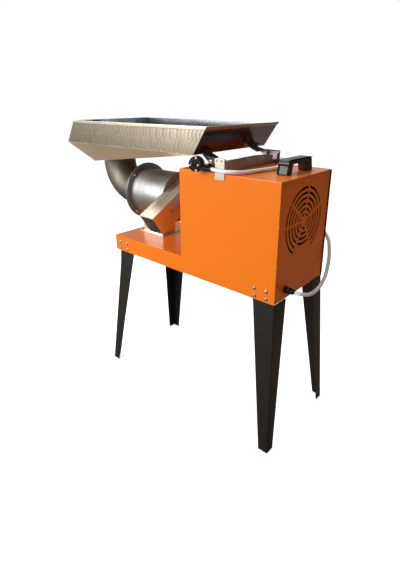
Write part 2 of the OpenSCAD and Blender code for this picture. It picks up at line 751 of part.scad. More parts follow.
// One long bolt ties the chute's two cheeks
module chute_bolts() machine() color("silver") {
    pin_x([disc_x - 0.01, ch_bolt[1], ch_bolt[2]], chute_w + 0.02, 2);
    translate(ch_bolt) rotate([0, 90, 0]) dome(4.5, 3);
    translate([disc_x, ch_bolt[1], ch_bolt[2]]) rotate([0, -90, 0]) dome(4.5, 3);
}

module must_duct() machine() color("gray") difference() {
    union() {
        translate([duct_x0, -duct_w / 2, deck_h - duct_drop])
            cube([duct_l, duct_w, axis_z - deck_h + duct_drop - drum_r / 2]);
        translate([duct_x0 - duct_flange, -duct_w / 2 - duct_flange, deck_h])
            cube([duct_l + 2 * duct_flange, duct_w + 2 * duct_flange, plate_t]);
    }
    translate([duct_x0 + wall, -duct_w / 2 + wall, deck_h - duct_drop - over])
        cube([duct_l - 2 * wall, duct_w - 2 * wall, axis_z]);
    rod(duct_x0 - over, duct_x1 + over, drum_r + fit);
    duct_bolt_places() translate([0, 0, deck_h - over])
        cylinder(r = duct_bolt_r + seat, h = plate_t + 2 * over);
}

module must_duct_bolts() machine() color("silver") duct_bolt_places() {
    translate([0, 0, deck_h + plate_t]) dome(4.2, 3);
    translate([0, 0, deck_h - sheet - 5])
        cylinder(r = duct_bolt_r, h = sheet + plate_t + 5 + 0.01);
    translate([0, 0, deck_h - sheet - 4]) cylinder(r = 4.2, h = 4, $fn = 6);
}

// ---------------------------------------------------------------- drive

neck_flange_t = 5;
module bearing_neck() machine() color("slategray") difference() {
    union() {
        rod(neck_x0, neck_x1, neck_r);
        rod(neck_x0, neck_x0 + neck_flange_t, neck_flange_r);
        rod(neck_x1 - neck_flange_t, neck_x1, neck_flange_r);
    }
    rod(neck_x0 - over, neck_x1 + over, neck_in);
    neck_bolt_places() translate([0, 0, neck_x0 - over])
        cylinder(r = neck_bolt_r + seat, h = neck_x1 - neck_x0 + 2 * over);
}

bearing_w = 12;
seal_w = 3;
bearing_x = [neck_x0 + seal_w + fit, neck_x1 - bearing_w];
module shaft_bearings() machine() color("lightsteelblue") {
    pipe(bearing_x[0], bearing_x[0] + bearing_w, neck_in - seat, shaft_r + run);
    pipe(bearing_x[1], bearing_x[1] + bearing_w, neck_in - seat, mshaft_r + run);
}

module shaft_seal() machine() color("#222222")
    pipe(neck_x0, neck_x0 + seal_w, neck_in - seat, shaft_r + run);

module neck_bolts() machine() color("silver") neck_bolt_places() {
    // front set, into the discharge box
    translate([0, 0, neck_x0 - wall - 3.2]) cylinder(r = 3.4, h = 3.2, $fn = 6);
    translate([0, 0, neck_x0 - wall - 0.01])
        cylinder(r = neck_bolt_r, h = wall + neck_flange_t + 0.02);
    translate([0, 0, neck_x0 + neck_flange_t]) cylinder(r = 3.4, h = 3.2, $fn = 6);
    // rear set, through the cabinet's front wall
    translate([0, 0, neck_x1 - neck_flange_t - 3.2]) cylinder(r = 3.4, h = 3.2, $fn = 6);
    translate([0, 0, neck_x1 - neck_flange_t - 0.01])
        cylinder(r = neck_bolt_r, h = sheet + neck_flange_t + 0.02);
    translate([0, 0, bulk_x]) cylinder(r = 3.4, h = 3.2, $fn = 6);
}

shaft_x0 = drum_x0 + 14;
couple_x = bearing_x[0] + bearing_w + 1;
shaft_x1 = couple_x + 10;
module rotor_shaft() machine() color("silver") rod(shaft_x0, shaft_x1, shaft_r);

couple_l = bearing_x[1] - 1 - couple_x;
module shaft_coupling() machine() color("slategray") difference() {
    rod(couple_x, couple_x + couple_l, neck_in - 3);
    rod(couple_x - over, shaft_x1, shaft_r + run);
    rod(shaft_x1 - over, couple_x + couple_l + over, mshaft_r + run);
}

paddle_pitch = (drum_x1 - 8 - shaft_x0 - 6) / paddles_n;
module beater_paddles() machine() color("gainsboro") for (i = [0 : paddles_n - 1])
    translate([shaft_x0 + 3 + (i + 0.5) * paddle_pitch, 0, axis_z]) rotate([i * 72, 0, 0])
        difference() {
            union() {
                rotate([0, 90, 0]) cylinder(r = shaft_r + 3.5, h = paddle_pitch - 4,
                    center = true);
                translate([0, 0, (paddle_r + shaft_r) / 2]) rotate([0, 0, 25])
                    cube([paddle_pitch - 5, 4, paddle_r - shaft_r], center = true);
            }
            rotate([0, 90, 0]) cylinder(r = shaft_r + run, h = 2 * paddle_pitch,
                center = true);
        }

core_x0 = shield_x + 26;
core_l = motor_l - 62;
rear_shield_x = motor_x1 + shield_t;
fan_x = rear_shield_x + 6;
fan_l = 20;
module motor_shaft() machine() color("silver") {
    rod(shaft_x1 + 0.5, fan_x + fan_l, mshaft_r);
    rod(core_x0, core_x0 + core_l, motor_r - 24);
}

module motor_front_shield() machine() color("slategray") difference() {
    union() {
        rod(bulk_x, shield_x - shield_t, motor_flange_r);
        rod(bulk_x, shield_x, motor_r);
    }
    rod(bulk_x - over, bulk_x + shield_t, neck_flange_r + 4);
    rod(bulk_x - over, shield_x + over, mshaft_r + run);
    motor_bolt_places() translate([0, 0, bulk_x - over])
        cylinder(r = motor_bolt_r + seat, h = shield_t + 2 * over);
}

module motor_housing() machine() color("slategray")
    pipe(shield_x, motor_x1, motor_r, motor_r - 4);

module stator_core() machine() color("dimgray")
    pipe(core_x0, core_x0 + core_l, motor_r - 4 - seat, motor_r - 23.4);

module motor_rear_shield() machine() color("slategray") difference() {
    rod(motor_x1, rear_shield_x, motor_r);
    rod(motor_x1 - over, rear_shield_x + over, mshaft_r + run);
}

fan_r = motor_r - 10;
module cooling_fan() machine() color("#303030") difference() {
    union() {
        rod(fan_x, fan_x + fan_l, mshaft_r + 7);
        rod(fan_x, fan_x + 2.5, fan_r);
        for (a = [0 : 45 : 315]) translate([fan_x, 0, axis_z]) rotate([a, 0, 0])
            translate([0, -1.25, mshaft_r + 3]) cube([fan_l, 2.5, fan_r - mshaft_r - 4]);
    }
    rod(fan_x - over, fan_x + fan_l + over, mshaft_r + run);
}

module fan_cowl() machine() color("dimgray") difference() {
    rod(rear_shield_x, rear_shield_x + cowl_l, motor_r);
    rod(rear_shield_x - over, rear_shield_x + cowl_l - wall, motor_r - wall);
    // air inlet: a ring of openings round a hub
    for (a = [0 : 30 : 330]) translate([rear_shield_x + cowl_l - wall - over, 0, axis_z])
        rotate([a, 0, 0]) translate([0, 0, motor_r * 0.55]) rotate([0, 90, 0])
            cylinder(r = 6.5, h = wall + 2 * over);
}

box_x = shield_x + 50;
module terminal_box() machine() color("#2c2c2e") difference() {
    translate([box_x, -30, axis_z + motor_r - 12]) cube([70, 60, 40]);
    rod(box_x - over, box_x + 70 + over, motor_r + fit);
}

module capacitor() machine() color("gainsboro")
    let (c = (motor_r + cap_r + fit) / sqrt(2))
        pin_x([box_x - 8, c, axis_z + c], 72, cap_r);

module motor_bolts() machine() color("silver") motor_bolt_places() {
    translate([0, 0, -cab_l - 4]) cylinder(r = 5, h = 4, $fn = 6);
    translate([0, 0, -cab_l - 0.01])
        cylinder(r = motor_bolt_r, h = sheet + shield_t + 5 + 0.01);
    translate([0, 0, bulk_x + shield_t]) cylinder(r = 5, h = 4.5, $fn = 6);
}

// ---------------------------------------------------------------- switch

switch_d = 24;
switch_h = 44;
button_r = 9;
button_out = 4;
button_dx = switch_l / 2 - 15;
module switch_box() machine() color("#26272b") difference() {
    translate([switch_x - switch_l / 2, half_w, switch_z - switch_h / 2])
        cube([switch_l, switch_d, switch_h]);
    for (s = [-1, 1]) pin_y([switch_x + s * button_dx, half_w + switch_d - 10, switch_z],
        10 + over, button_r + fit);
}

module button(s) pin_y([switch_x + s * button_dx, half_w + switch_d - 10 + button_travel + fit,
    switch_z], 10 - button_travel - fit + button_out, button_r);
module start_button() machine() color("seagreen") button(-1);
module stop_button() machine() color("firebrick") button(1);

// ---------------------------------------------------------------- lead

module cable_gland() machine() color("#1b1b1d") {
    pin_x([rear_x0 - 8, gland_y, gland_z], 8 + sheet + 0.01, 6);
    pin_x([rear_x0 - 7, gland_y, gland_z], 5, 9);
    pin_x([rear_x1, gland_y, gland_z], 6, 9);
    translate([rear_x1 + 6, gland_y, gland_z]) rotate([0, 90, 0])
        cylinder(r1 = 8, r2 = lead_d / 2 + 1, h = 24 - rear_x1 - 6);
}

function unit(v) = v / norm(v);
// Ring of points round path point i, square to the path
function ring(p, i, r, n) =
    let (t = unit(p[min(i + 1, len(p) - 1)] - p[max(i - 1, 0)]),
         u = unit(cross(t, [0.31, 0.22, 0.93])), v = cross(t, u))
    [for (k = [0 : n - 1]) p[i] + r * (cos(k * 360 / n) * u + sin(k * 360 / n) * v)];

// Point on the smooth curve through four path points
function bow(a, b, c, d, s) = 0.5 * (2 * b + (c - a) * s + (2 * a - 5 * b + 4 * c - d) * s * s
    + (3 * b - a - 3 * c + d) * s * s * s);
function smooth(p) = concat([for (i = [0 : len(p) - 2], s = [0, 0.5])
    bow(p[max(i - 1, 0)], p[i], p[i + 1], p[min(i + 2, len(p) - 1)], s)], [p[len(p) - 1]]);

module tube(path, r, n) polyhedron(
    points = [for (i = [0 : len(path) - 1]) each ring(path, i, r, n)],
    faces = concat([[for (k = [0 : n - 1]) k]],
        [for (i = [0 : len(path) - 2], k = [0 : n - 1])
            [i * n + k, (i + 1) * n + k, (i + 1) * n + (k + 1) % n, i * n + (k + 1) % n]],
        [[for (k = [n - 1 : -1 : 0]) (len(path) - 1) * n + k]]));

module power_cord() machine() color("whitesmoke") tube(smooth(lead_path), lead_d / 2, 8);

plug_exit = lead_path[len(lead_path) - 1];
module power_plug() machine() color("#151517") {
    translate([plug_c[0], plug_y, plug_c[1]]) rotate([0, 0, plug_turn]) {
        pin_y([0, -13.5, 0], 27, plug_r);
        for (s = [-1, 1]) pin_y([s * 9.5, -32.5, 0], 19.01, 2.4);
    }
    // strain relief towards the lead
    translate(plug_exit) rotate([0, -90, 0])
        cylinder(r1 = lead_d / 2 + 1, r2 = 6.5, h = plug_exit[0] - plug_c[0] - 13);
}

near_side_panel();
far_side_panel();
top_panel();
bulkhead_panel();
deck_plate();
deck_skirt();
rear_panel();
rear_panel_screws();
leg_near_rear();
leg_far_rear();
leg_near_front();
leg_far_front();
leg_bolts();
carry_handle();
handle_screws();
hinge_cross_plate();
hinge_ear_near();
hinge_ear_far();
ear_strap_near();
ear_strap_far();
strap_screws();
pivot_bolts();
feed_elbow();
flange_gasket();
flange_bolts();
drum_casing();
drum_screen();
drum_rear_disc();
discharge_chute();
chute_bolts();
must_duct();
must_duct_bolts();
bearing_neck();
shaft_bearings();
shaft_seal();
neck_bolts();
rotor_shaft();
beater_paddles();
shaft_coupling();
motor_shaft();
motor_front_shield();
motor_housing();
stator_core();
motor_rear_shield();
cooling_fan();
fan_cowl();
terminal_box();
capacitor();
motor_bolts();
switch_box();
start_button();
stop_button();
cable_gland();
power_cord();
power_plug();
hopper_shell();
hopper_arm_near();
hopper_arm_far();
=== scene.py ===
# %% [markdown]
# # A small electric fruit crusher on four legs
# Fruit is tipped into the stainless hopper, drops through a pipe elbow and enters
# a round drum where a motor spins paddles. Juice and pulp leave below the drum and
# the stems leave by a square side chute. The measured frame already has every part
# at its real size. This lesson dresses it: rounded sheet edges, real fasteners, weld
# beads, a mains lead with its plug, and a finish for every piece.

import functools
import math

import bmesh
import bpy
from mathutils import Matrix, Vector


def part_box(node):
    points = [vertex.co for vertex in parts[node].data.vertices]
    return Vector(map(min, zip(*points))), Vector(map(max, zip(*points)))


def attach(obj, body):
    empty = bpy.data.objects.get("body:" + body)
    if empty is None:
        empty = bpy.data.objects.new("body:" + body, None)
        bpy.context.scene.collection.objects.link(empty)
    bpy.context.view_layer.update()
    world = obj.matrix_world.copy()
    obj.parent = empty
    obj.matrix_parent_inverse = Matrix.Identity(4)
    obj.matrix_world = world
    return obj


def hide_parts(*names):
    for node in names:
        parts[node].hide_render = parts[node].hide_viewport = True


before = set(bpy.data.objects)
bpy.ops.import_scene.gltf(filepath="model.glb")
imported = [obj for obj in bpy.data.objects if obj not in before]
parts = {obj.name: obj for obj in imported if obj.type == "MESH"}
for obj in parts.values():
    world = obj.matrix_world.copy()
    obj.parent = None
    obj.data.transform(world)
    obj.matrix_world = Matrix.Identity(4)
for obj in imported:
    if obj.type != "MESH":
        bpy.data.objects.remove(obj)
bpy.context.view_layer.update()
print("pieces in the frame:", len(parts))

# %% [markdown]
# ## A ruler on the machine
# A maker measures from an edge that can be touched. Here lengths are given in
# millimetres from the vented end of the cabinet, its middle and its lower edge. The
# near side panel gives the place of that corner, so nothing has to be typed twice. A
# second helper puts each new object into the scene.

# %% Millimetres from the cabinet's vented end
panel_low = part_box("near_side_panel")[0]
deck_end, half_width = -577, 115.5
zero = panel_low - Vector((deck_end, -half_width, 0)) / 1000
axis_height = 171


def mm(x, y, z):
    """A point of the machine, in metres in the frame."""
    return zero + Vector((x, y, z)) / 1000


def put_in_scene(name, data):
    """Makes an object that holds the data and links it to the scene."""
    thing = bpy.data.objects.new(name, data)
    bpy.context.scene.collection.objects.link(thing)
    return thing


print("machine zero is at", [round(v, 4) for v in zero])

# %% [markdown]
# ## The camera
# A lens shift keeps the upright edges of the machine upright, where tilting the
# camera would make the legs lean. The camera stands at the vented end, a little
# above the hopper.

# %% Camera at the vented end, a little above the hopper
camera_data = bpy.data.cameras.new("viewing_camera")
camera_data.sensor_width = 36
camera_data.lens = 25.69
camera_data.shift_x = -0.0029
camera_data.shift_y = -0.0729
camera_data.clip_end = 60
camera_data.dof.use_dof = False
camera = put_in_scene("viewing_camera", camera_data)
towards_camera = Vector((0.6303, -0.7025, 0.3304)).normalized()
aim = towards_camera.to_track_quat("Z", "Y").to_matrix()
tilt = Matrix.Rotation(math.radians(-0.196), 3, towards_camera)
camera.matrix_world = Matrix.Translation((0.7858, -0.8266, 0.8282)) @ (tilt @ aim).to_4x4()
bpy.context.scene.camera = camera
print("camera stands at", [round(v, 3) for v in camera.location])

# %% [markdown]
# ## The mains lead
# A white lead as thick as a pencil leaves the gland low on the vented end, loops round
# the corner, climbs the far side and lies across the top. Its plug rests on the near
# edge beside the hopper hinge. A lead could be a simulation, but this one's points are
# given one by one, so a curve through the points where it was laid says it best. Handles set
# to a sixth of the step between neighbours give the curve one smooth bend after
# another.

# %% Route of the lead, from the gland to the plug
lead_route = [
    (24, -68.5, 24), (36, -66, 23), (43, -52, 19), (45, -36, 15), (45, -15, 13),
    (44, 6, 14), (42, 26, 18), (40, 42, 24), (37, 58, 34), (32, 76, 49),
    (26, 92, 67), (17, 107, 87), (7, 119, 102), (-8, 125, 116), (-26, 127, 129),
    (-46, 127, 143), (-68, 126, 160), (-90, 125, 180), (-109, 125, 203),
    (-124, 125, 228), (-133, 126, 252), (-138, 126, 272), (-140, 121, 287),
    (-137, 109, 293), (-129, 92, 291), (-118, 72, 287), (-106, 50, 285.2),
    (-97, 26, 285), (-95, 2, 285), (-99, -22, 285), (-105, -46, 285),
    (-108, -70, 285), (-112, -92, 285.4), (-121, -110, 287), (-136, -121, 287.5),
    (-152, -123.2, 287.5), (-167, -123, 288), (-180, -122.5, 289.5),
]
lead_points = [mm(*p) for p in lead_route]
lead_exit = lead_route[0]
lead_diameter = 0.009

# %% The lead as one smooth curve
lead_curve = bpy.data.curves.new("mains_lead", "CURVE")
lead_curve.dimensions = "3D"
lead_curve.bevel_depth = lead_diameter / 2
lead_curve.bevel_resolution = 6
lead_curve.resolution_u = 10
lead_curve.use_fill_caps = True
lead_spline = lead_curve.splines.new("BEZIER")
lead_spline.bezier_points.add(len(lead_points) - 1)
for i, point in enumerate(lead_points):
    before = lead_points[max(i - 1, 0)]
    after = lead_points[min(i + 1, len(lead_points) - 1)]
    knot = lead_spline.bezier_points[i]
    knot.handle_left_type = knot.handle_right_type = "FREE"
    knot.co = point
    knot.handle_left = point - (after - before) / 6
    knot.handle_right = point + (after - before) / 6
mains_lead = put_in_scene("mains_lead", lead_curve)
print("points along the lead:", len(lead_points))

# %% [markdown]
# ## Wiring a finish
# Every finish below is a small network of shader nodes. Clicking them together by
# hand would be slow to repeat, so small helpers place a node and join the sockets. A
# shared effect is a node group: it is built once and each finish uses it with its
# own numbers. Groups only give out masks and heights; the surface shader stays in
# the finish itself.

# %% Helpers that place and join shader nodes
def place(tree, kind, values=None, **settings):
    """Adds a node, sets its options, then its input sockets by name or number."""
    node = tree.nodes.new(kind)
    for key, value in settings.items():
        setattr(node, key, value)
    for key, value in (values or {}).items():
        node.inputs[key].default_value = value
    return node


def join(tree, output, target):
    tree.links.new(output, target)


def wire(tree, links):
    """Joins many sockets. Each link is (from node, its output, to node, its input)."""
    for source, output, target, socket in links:
        join(tree, source.outputs[output], target.inputs[socket])


def new_finish(name):
    """A fresh finish with its node tree and its surface shader."""
    finish = bpy.data.materials.new(name)
    finish.use_nodes = True
    return finish, finish.node_tree, finish.node_tree.nodes["Principled BSDF"]


def effect_group(name, inputs, outputs):
    """Starts a shared effect with named inputs and outputs."""
    tree = bpy.data.node_groups.new(name, "ShaderNodeTree")
    for label, kind, value in inputs:
        socket = tree.interface.new_socket(name=label, in_out="INPUT", socket_type=kind)
        socket.default_value = value
    for label, kind in outputs:
        tree.interface.new_socket(name=label, in_out="OUTPUT", socket_type=kind)
    return tree, place(tree, "NodeGroupInput"), place(tree, "NodeGroupOutput")


def mix_colours(tree, first, second):
    """A colour that goes from the first to the second as its input goes from 0 to 1."""
    return place(tree, "ShaderNodeMix", {6: (*first, 1), 7: (*second, 1)}, data_type="RGBA")


def use_effect(tree, group, **values):
    """Places a shared effect in a finish. Underscores in a name stand for spaces."""
    node = place(tree, "ShaderNodeGroup", node_tree=group)
    for key, value in values.items():
        node.inputs[key.replace("_", " ")].default_value = value
    return node


# %% [markdown]
# ## Cloudy tone
# No sheet or casting is one even colour: the paint film is thicker in places, steel
# has been wiped, plastic has been handled. Painting a texture would do it, but slow
# noise at two sizes gives the same unevenness on every piece, at a scale that is
# set in metres.

# %% Shared effect: cloudy tone
cloudy_tone, given, gives = effect_group(
    "cloudy_tone",
    [("Size", "NodeSocketFloat", 8.0)],
    [("Tone", "NodeSocketFloat")],
)
where = place(cloudy_tone, "ShaderNodeTexCoord")
broad = place(cloudy_tone, "ShaderNodeTexNoise", {"Detail": 3.0, "Roughness": 0.55})
fine = place(cloudy_tone, "ShaderNodeTexNoise", {"Scale": 90.0, "Detail": 2.0})
blend = place(cloudy_tone, "ShaderNodeMix", {0: 0.12})
wire(cloudy_tone, [
    (where, "Object", broad, "Vector"),
    (given, "Size", broad, "Scale"),
    (where, "Object", fine, "Vector"),
    (broad, "Fac", blend, 2),
    (fine, "Fac", blend, 3),
    (blend, 0, gives, "Tone"),
])
print("effect ready:", cloudy_tone.name)

# %% [markdown]
# ## Brushed grain
# Stainless sheet leaves the mill with fine lines all in one direction. The lines are
# noise squeezed hard across the grain and hardly at all along it. The stretch is an
# input, because the grain runs along the hopper but round the drum.

# %% Shared effect: brushed grain
brushed_grain, given, gives = effect_group(
    "brushed_grain",
    [("Squeeze", "NodeSocketVector", (4, 900, 900))],
    [("Lines", "NodeSocketFloat"), ("Bands", "NodeSocketFloat")],
)
where = place(brushed_grain, "ShaderNodeTexCoord")
squeezed = place(brushed_grain, "ShaderNodeVectorMath", operation="MULTIPLY")
lines = place(brushed_grain, "ShaderNodeTexNoise", {"Scale": 1.0, "Detail": 2.0})
wider = place(brushed_grain, "ShaderNodeVectorMath", {1: (0.12, 0.12, 0.12)}, operation="MULTIPLY")
bands = place(brushed_grain, "ShaderNodeTexNoise", {"Scale": 1.0, "Detail": 3.0})
wire(brushed_grain, [
    (where, "Object", squeezed, 0),
    (given, "Squeeze", squeezed, 1),
    (squeezed, 0, lines, "Vector"),
    (squeezed, 0, wider, 0),
    (wider, 0, bands, "Vector"),
    (lines, "Fac", gives, "Lines"),
    (bands, "Fac", gives, "Bands"),
])
print("effect ready:", brushed_grain.name)

# %% [markdown]
# ## Polishing swirls
# The long upright walls of the hopper are engine-turned: a round pad was pressed on
# again and again along a row, each touch covering most of the last, so what is left
# of every touch is a crescent. A random cell pattern would look like hammering. Here
# the crescents are worked out: the height inside a row bends the sheet's length
# coordinate by a circle, and whole steps along it number the touches. The pattern
# reads the sheet's own flat layout in metres.

# %% Shared effect: polishing swirls
polishing_swirls, given, gives = effect_group(
    "polishing_swirls",
    [("Row Height", "NodeSocketFloat", 0.0285), ("Step", "NodeSocketFloat", 0.012),
     ("Pad Radius", "NodeSocketFloat", 0.0175)],
    [("Crescent", "NodeSocketFloat"), ("Touch", "NodeSocketFloat")],
)


def reckon(tree, operation, first, second=None):
    """One line of arithmetic in a node tree."""
    node = place(tree, "ShaderNodeMath", operation=operation)
    for socket, value in zip(node.inputs, (first, second)):
        if value is None:
            continue
        if isinstance(value, (int, float)):
            socket.default_value = value
        else:
            join(tree, value, socket)
    return node.outputs[0]


where = place(polishing_swirls, "ShaderNodeTexCoord")
split = place(polishing_swirls, "ShaderNodeSeparateXYZ")
join(polishing_swirls, where.outputs["UV"], split.inputs[0])
work_out = functools.partial(reckon, polishing_swirls)
row_height, pad_radius = given.outputs["Row Height"], given.outputs["Pad Radius"]
row = work_out("DIVIDE", split.outputs["Y"], row_height)
row_number = work_out("FLOOR", row)
in_row = work_out("MULTIPLY", work_out("SUBTRACT", work_out("FRACT", row), 0.5), row_height)
radius_squared = work_out("MULTIPLY", pad_radius, pad_radius)
rise_squared = work_out("MULTIPLY", in_row, in_row)
bow = work_out("SQRT", work_out("SUBTRACT", radius_squared, rise_squared))
row_shift = work_out("MULTIPLY", row_number, 0.0037)
along_row = work_out("ADD", work_out("ADD", split.outputs["X"], bow), row_shift)
steps_along = work_out("DIVIDE", along_row, given.outputs["Step"])
touch_number = work_out("FLOOR", steps_along)
touch = place(polishing_swirls, "ShaderNodeCombineXYZ")
join(polishing_swirls, touch_number, touch.inputs[0])
join(polishing_swirls, row_number, touch.inputs[1])
chance = place(polishing_swirls, "ShaderNodeTexWhiteNoise", noise_dimensions="2D")
join(polishing_swirls, touch.outputs[0], chance.inputs["Vector"])
join(polishing_swirls, work_out("FRACT", steps_along), gives.inputs["Crescent"])
join(polishing_swirls, chance.outputs["Value"], gives.inputs["Touch"])
print("effect ready:", polishing_swirls.name)

# %% [markdown]
# ## Dust and fine scratches
# A machine that has stood in a shed has dust specks and a few hair scratches. Specks
# are the tops of a fine noise; scratches are a thin band cut out of stretched noise.

# %% Shared effect: shed wear
shed_wear, given, gives = effect_group(
    "shed_wear",
    [("Speck Size", "NodeSocketFloat", 260.0), ("Scratch Size", "NodeSocketFloat", 22.0)],
    [("Specks", "NodeSocketFloat"), ("Scratches", "NodeSocketFloat")],
)
where = place(shed_wear, "ShaderNodeTexCoord")
speck_noise = place(shed_wear, "ShaderNodeTexNoise", {"Detail": 1.0})
speck_cut = place(shed_wear, "ShaderNodeMapRange", {1: 0.66, 2: 0.74})
slant = place(shed_wear, "ShaderNodeMapping", {"Rotation": (0.4, 0.7, 0.5), "Scale": (1, 7, 1)})
scratch_noise = place(shed_wear, "ShaderNodeTexNoise", {"Detail": 4.0, "Roughness": 0.6, "Distortion": 0.4})
offset = place(shed_wear, "ShaderNodeMath", {1: 0.5}, operation="SUBTRACT")
fold = place(shed_wear, "ShaderNodeMath", operation="ABSOLUTE")
scratch_cut = place(shed_wear, "ShaderNodeMapRange", {1: 0.004, 2: 0.0})
wire(shed_wear, [
    (where, "Object", speck_noise, "Vector"),
    (given, "Speck Size", speck_noise, "Scale"),
    (speck_noise, "Fac", speck_cut, 0),
    (where, "Object", slant, "Vector"),
    (slant, 0, scratch_noise, "Vector"),
    (given, "Scratch Size", scratch_noise, "Scale"),
    (scratch_noise, "Fac", offset, 0),
    (offset, 0, fold, 0),
    (fold, 0, scratch_cut, 0),
    (speck_cut, 0, gives, "Specks"),
    (scratch_cut, 0, gives, "Scratches"),
])
print("effect ready:", shed_wear.name)


# %% [markdown]
# ## Enamel paint
# Cabinet and legs are powder coated: a thick glossy film with a very fine orange
# peel. The colour comes from the cloudy tone between two close shades, the gloss
# from a low roughness with a clear coat, and the peel from a shallow bump.

# %% A maker for enamel finishes
def enamel(name, light, dark, roughness, coat, peel, dust, shine=0.25):
    finish, tree, shader = new_finish(name)
    tone = use_effect(tree, cloudy_tone, Size=5.0)
    wear = use_effect(tree, shed_wear)
    film = mix_colours(tree, dark, light)
    dusty = place(tree, "ShaderNodeMix", {7: (0.55, 0.47, 0.38, 1)}, data_type="RGBA")
    dust_share = place(tree, "ShaderNodeMath", {1: dust}, operation="MULTIPLY")
    wire(tree, [
        (tone, "Tone", film, 0),
        (wear, "Specks", dust_share, 0),
        (dust_share, 0, dusty, 0),
        (film, 2, dusty, 6),
        (dusty, 2, shader, "Base Color"),
    ])
    gloss = place(tree, "ShaderNodeMapRange", {1: 0.3, 2: 0.7, 3: roughness * 0.8, 4: roughness * 1.25})
    wire(tree, [
        (tone, "Tone", gloss, 0),
        (gloss, 0, shader, "Roughness"),
    ])
    shader.inputs["Specular IOR Level"].default_value = shine
    shader.inputs["Coat Weight"].default_value = coat
    shader.inputs["Coat Roughness"].default_value = 0.1
    where = place(tree, "ShaderNodeTexCoord")
    ripple = place(tree, "ShaderNodeTexNoise", {"Scale": 420.0, "Detail": 1.0})
    bump = place(tree, "ShaderNodeBump", {"Strength": peel, "Distance": 0.0004})
    wire(tree, [
        (where, "Object", ripple, "Vector"),
        (ripple, "Fac", bump, "Height"),
        (bump, 0, shader, "Normal"),
    ])
    return finish


# %% Orange for the cabinet, charcoal for the legs
orange_enamel = enamel(
    "orange_enamel", (0.86, 0.205, 0.010), (0.80, 0.180, 0.007), 0.3, 0.12, 0.05, 0.0)
charcoal_enamel = enamel(
    "charcoal_enamel", (0.012, 0.0115, 0.012), (0.007, 0.0068, 0.0075), 0.38, 0.05, 0.2, 0.02, 0.3)
# The dark inside finish is painted shade: it darkens the faces that look into the cabinet's hollow.
inside_primer = enamel(
    "inside_primer", (0.022, 0.013, 0.009), (0.012, 0.007, 0.005), 0.7, 0.0, 0.3, 0.1)
print("paints:", orange_enamel.name, charcoal_enamel.name, inside_primer.name)


# %% [markdown]
# ## Stainless steel
# Hopper, elbow, drum and chute are all stainless, but each is finished differently.
# One maker covers them: the tint, how rough it is along its bands, the squeeze of
# the grain and how deep the lines are. The warm tint of most sheets is a painted
# reflection of a tan surround. The hopper's inner floor is painted cool blue, a painted
# reflection, and the sheets that face the cabinet are painted darker, as painted shade.

# %% A maker for brushed metal
def brushed_metal(name, light, dark, smooth, dull, squeeze, depth, tone_size=9.0):
    finish, tree, shader = new_finish(name)
    shader.inputs["Metallic"].default_value = 1.0
    shader.inputs["Anisotropic"].default_value = 0.3
    tone = use_effect(tree, cloudy_tone, Size=tone_size)
    grain = use_effect(tree, brushed_grain, Squeeze=squeeze)
    mask = place(tree, "ShaderNodeMix", {0: 0.45})
    spread = place(tree, "ShaderNodeMapRange", {1: 0.35, 2: 0.65})
    sheet = mix_colours(tree, dark, light)
    gloss = place(tree, "ShaderNodeMapRange", {1: 0.35, 2: 0.65, 3: dull, 4: smooth})
    bump = place(tree, "ShaderNodeBump", {"Strength": depth, "Distance": 0.0003})
    wire(tree, [
        (tone, "Tone", mask, 2),
        (grain, "Bands", mask, 3),
        (mask, 0, spread, 0),
        (spread, 0, sheet, 0),
        (sheet, 2, shader, "Base Color"),
        (grain, "Bands", gloss, 0),
        (gloss, 0, shader, "Roughness"),
        (grain, "Lines", bump, "Height"),
        (bump, 0, shader, "Normal"),
    ])
    return finish


# %% Metals of the machine
# The warm tint of the hopper sheet is a painted reflection of a tan surround.
hopper_sheet_steel = brushed_metal(
    "hopper_sheet_steel", (0.94, 0.89, 0.775), (0.82, 0.76, 0.64), 0.3, 0.44, (8, 700, 700), 0.12)
# Cool blue tint: painted reflection on the inside of the hopper.
hopper_inner_steel = brushed_metal(
    "hopper_inner_steel", (0.66, 0.72, 0.78), (0.40, 0.44, 0.48), 0.12, 0.3, (8, 700, 700), 0.1)
# Dark purplish sheet: painted shade and painted reflection of the cabinet.
shaded_sheet_steel = brushed_metal(
    "shaded_sheet_steel", (0.36, 0.275, 0.35), (0.28, 0.21, 0.27), 0.08, 0.2, (12, 160, 160), 0.02, 5.0)
# The elbow is painted much darker than bare stainless: painted shade.
elbow_steel = brushed_metal(
    "elbow_steel", (0.215, 0.20, 0.172), (0.145, 0.134, 0.112), 0.52, 0.68, (220, 90, 12), 0.2, 14.0)
# The drum's blue cast is painted light from the lamp above.
drum_steel = brushed_metal(
    "drum_steel", (0.47, 0.485, 0.505), (0.31, 0.315, 0.325), 0.4, 0.58, (900, 10, 10), 0.12)
chute_steel = brushed_metal(
    "chute_steel", (0.92, 0.895, 0.84), (0.78, 0.75, 0.68), 0.24, 0.38, (900, 12, 12), 0.12)
hinge_steel = brushed_metal(
    "hinge_steel", (0.38, 0.365, 0.34), (0.27, 0.255, 0.235), 0.32, 0.44, (12, 160, 160), 0.02, 6.0)
bright_steel = brushed_metal(
    "bright_steel", (0.72, 0.69, 0.61), (0.64, 0.61, 0.53), 0.3, 0.4, (40, 40, 40), 0.02, 12.0)
rim_steel = brushed_metal(
    "rim_steel", (0.56, 0.50, 0.40), (0.40, 0.35, 0.27), 0.3, 0.42, (8, 500, 500), 0.08)
zinc_plate = brushed_metal(
    "zinc_plate", (0.60, 0.57, 0.52), (0.40, 0.38, 0.34), 0.28, 0.45, (60, 60, 60), 0.3, 60.0)
bearing_steel = brushed_metal(
    "bearing_steel", (0.78, 0.78, 0.78), (0.60, 0.60, 0.61), 0.12, 0.25, (500, 6, 6), 0.15)
nickel_plate = brushed_metal(
    "nickel_plate", (0.98, 0.96, 0.91), (0.88, 0.85, 0.79), 0.34, 0.45, (20, 400, 20), 0.05)
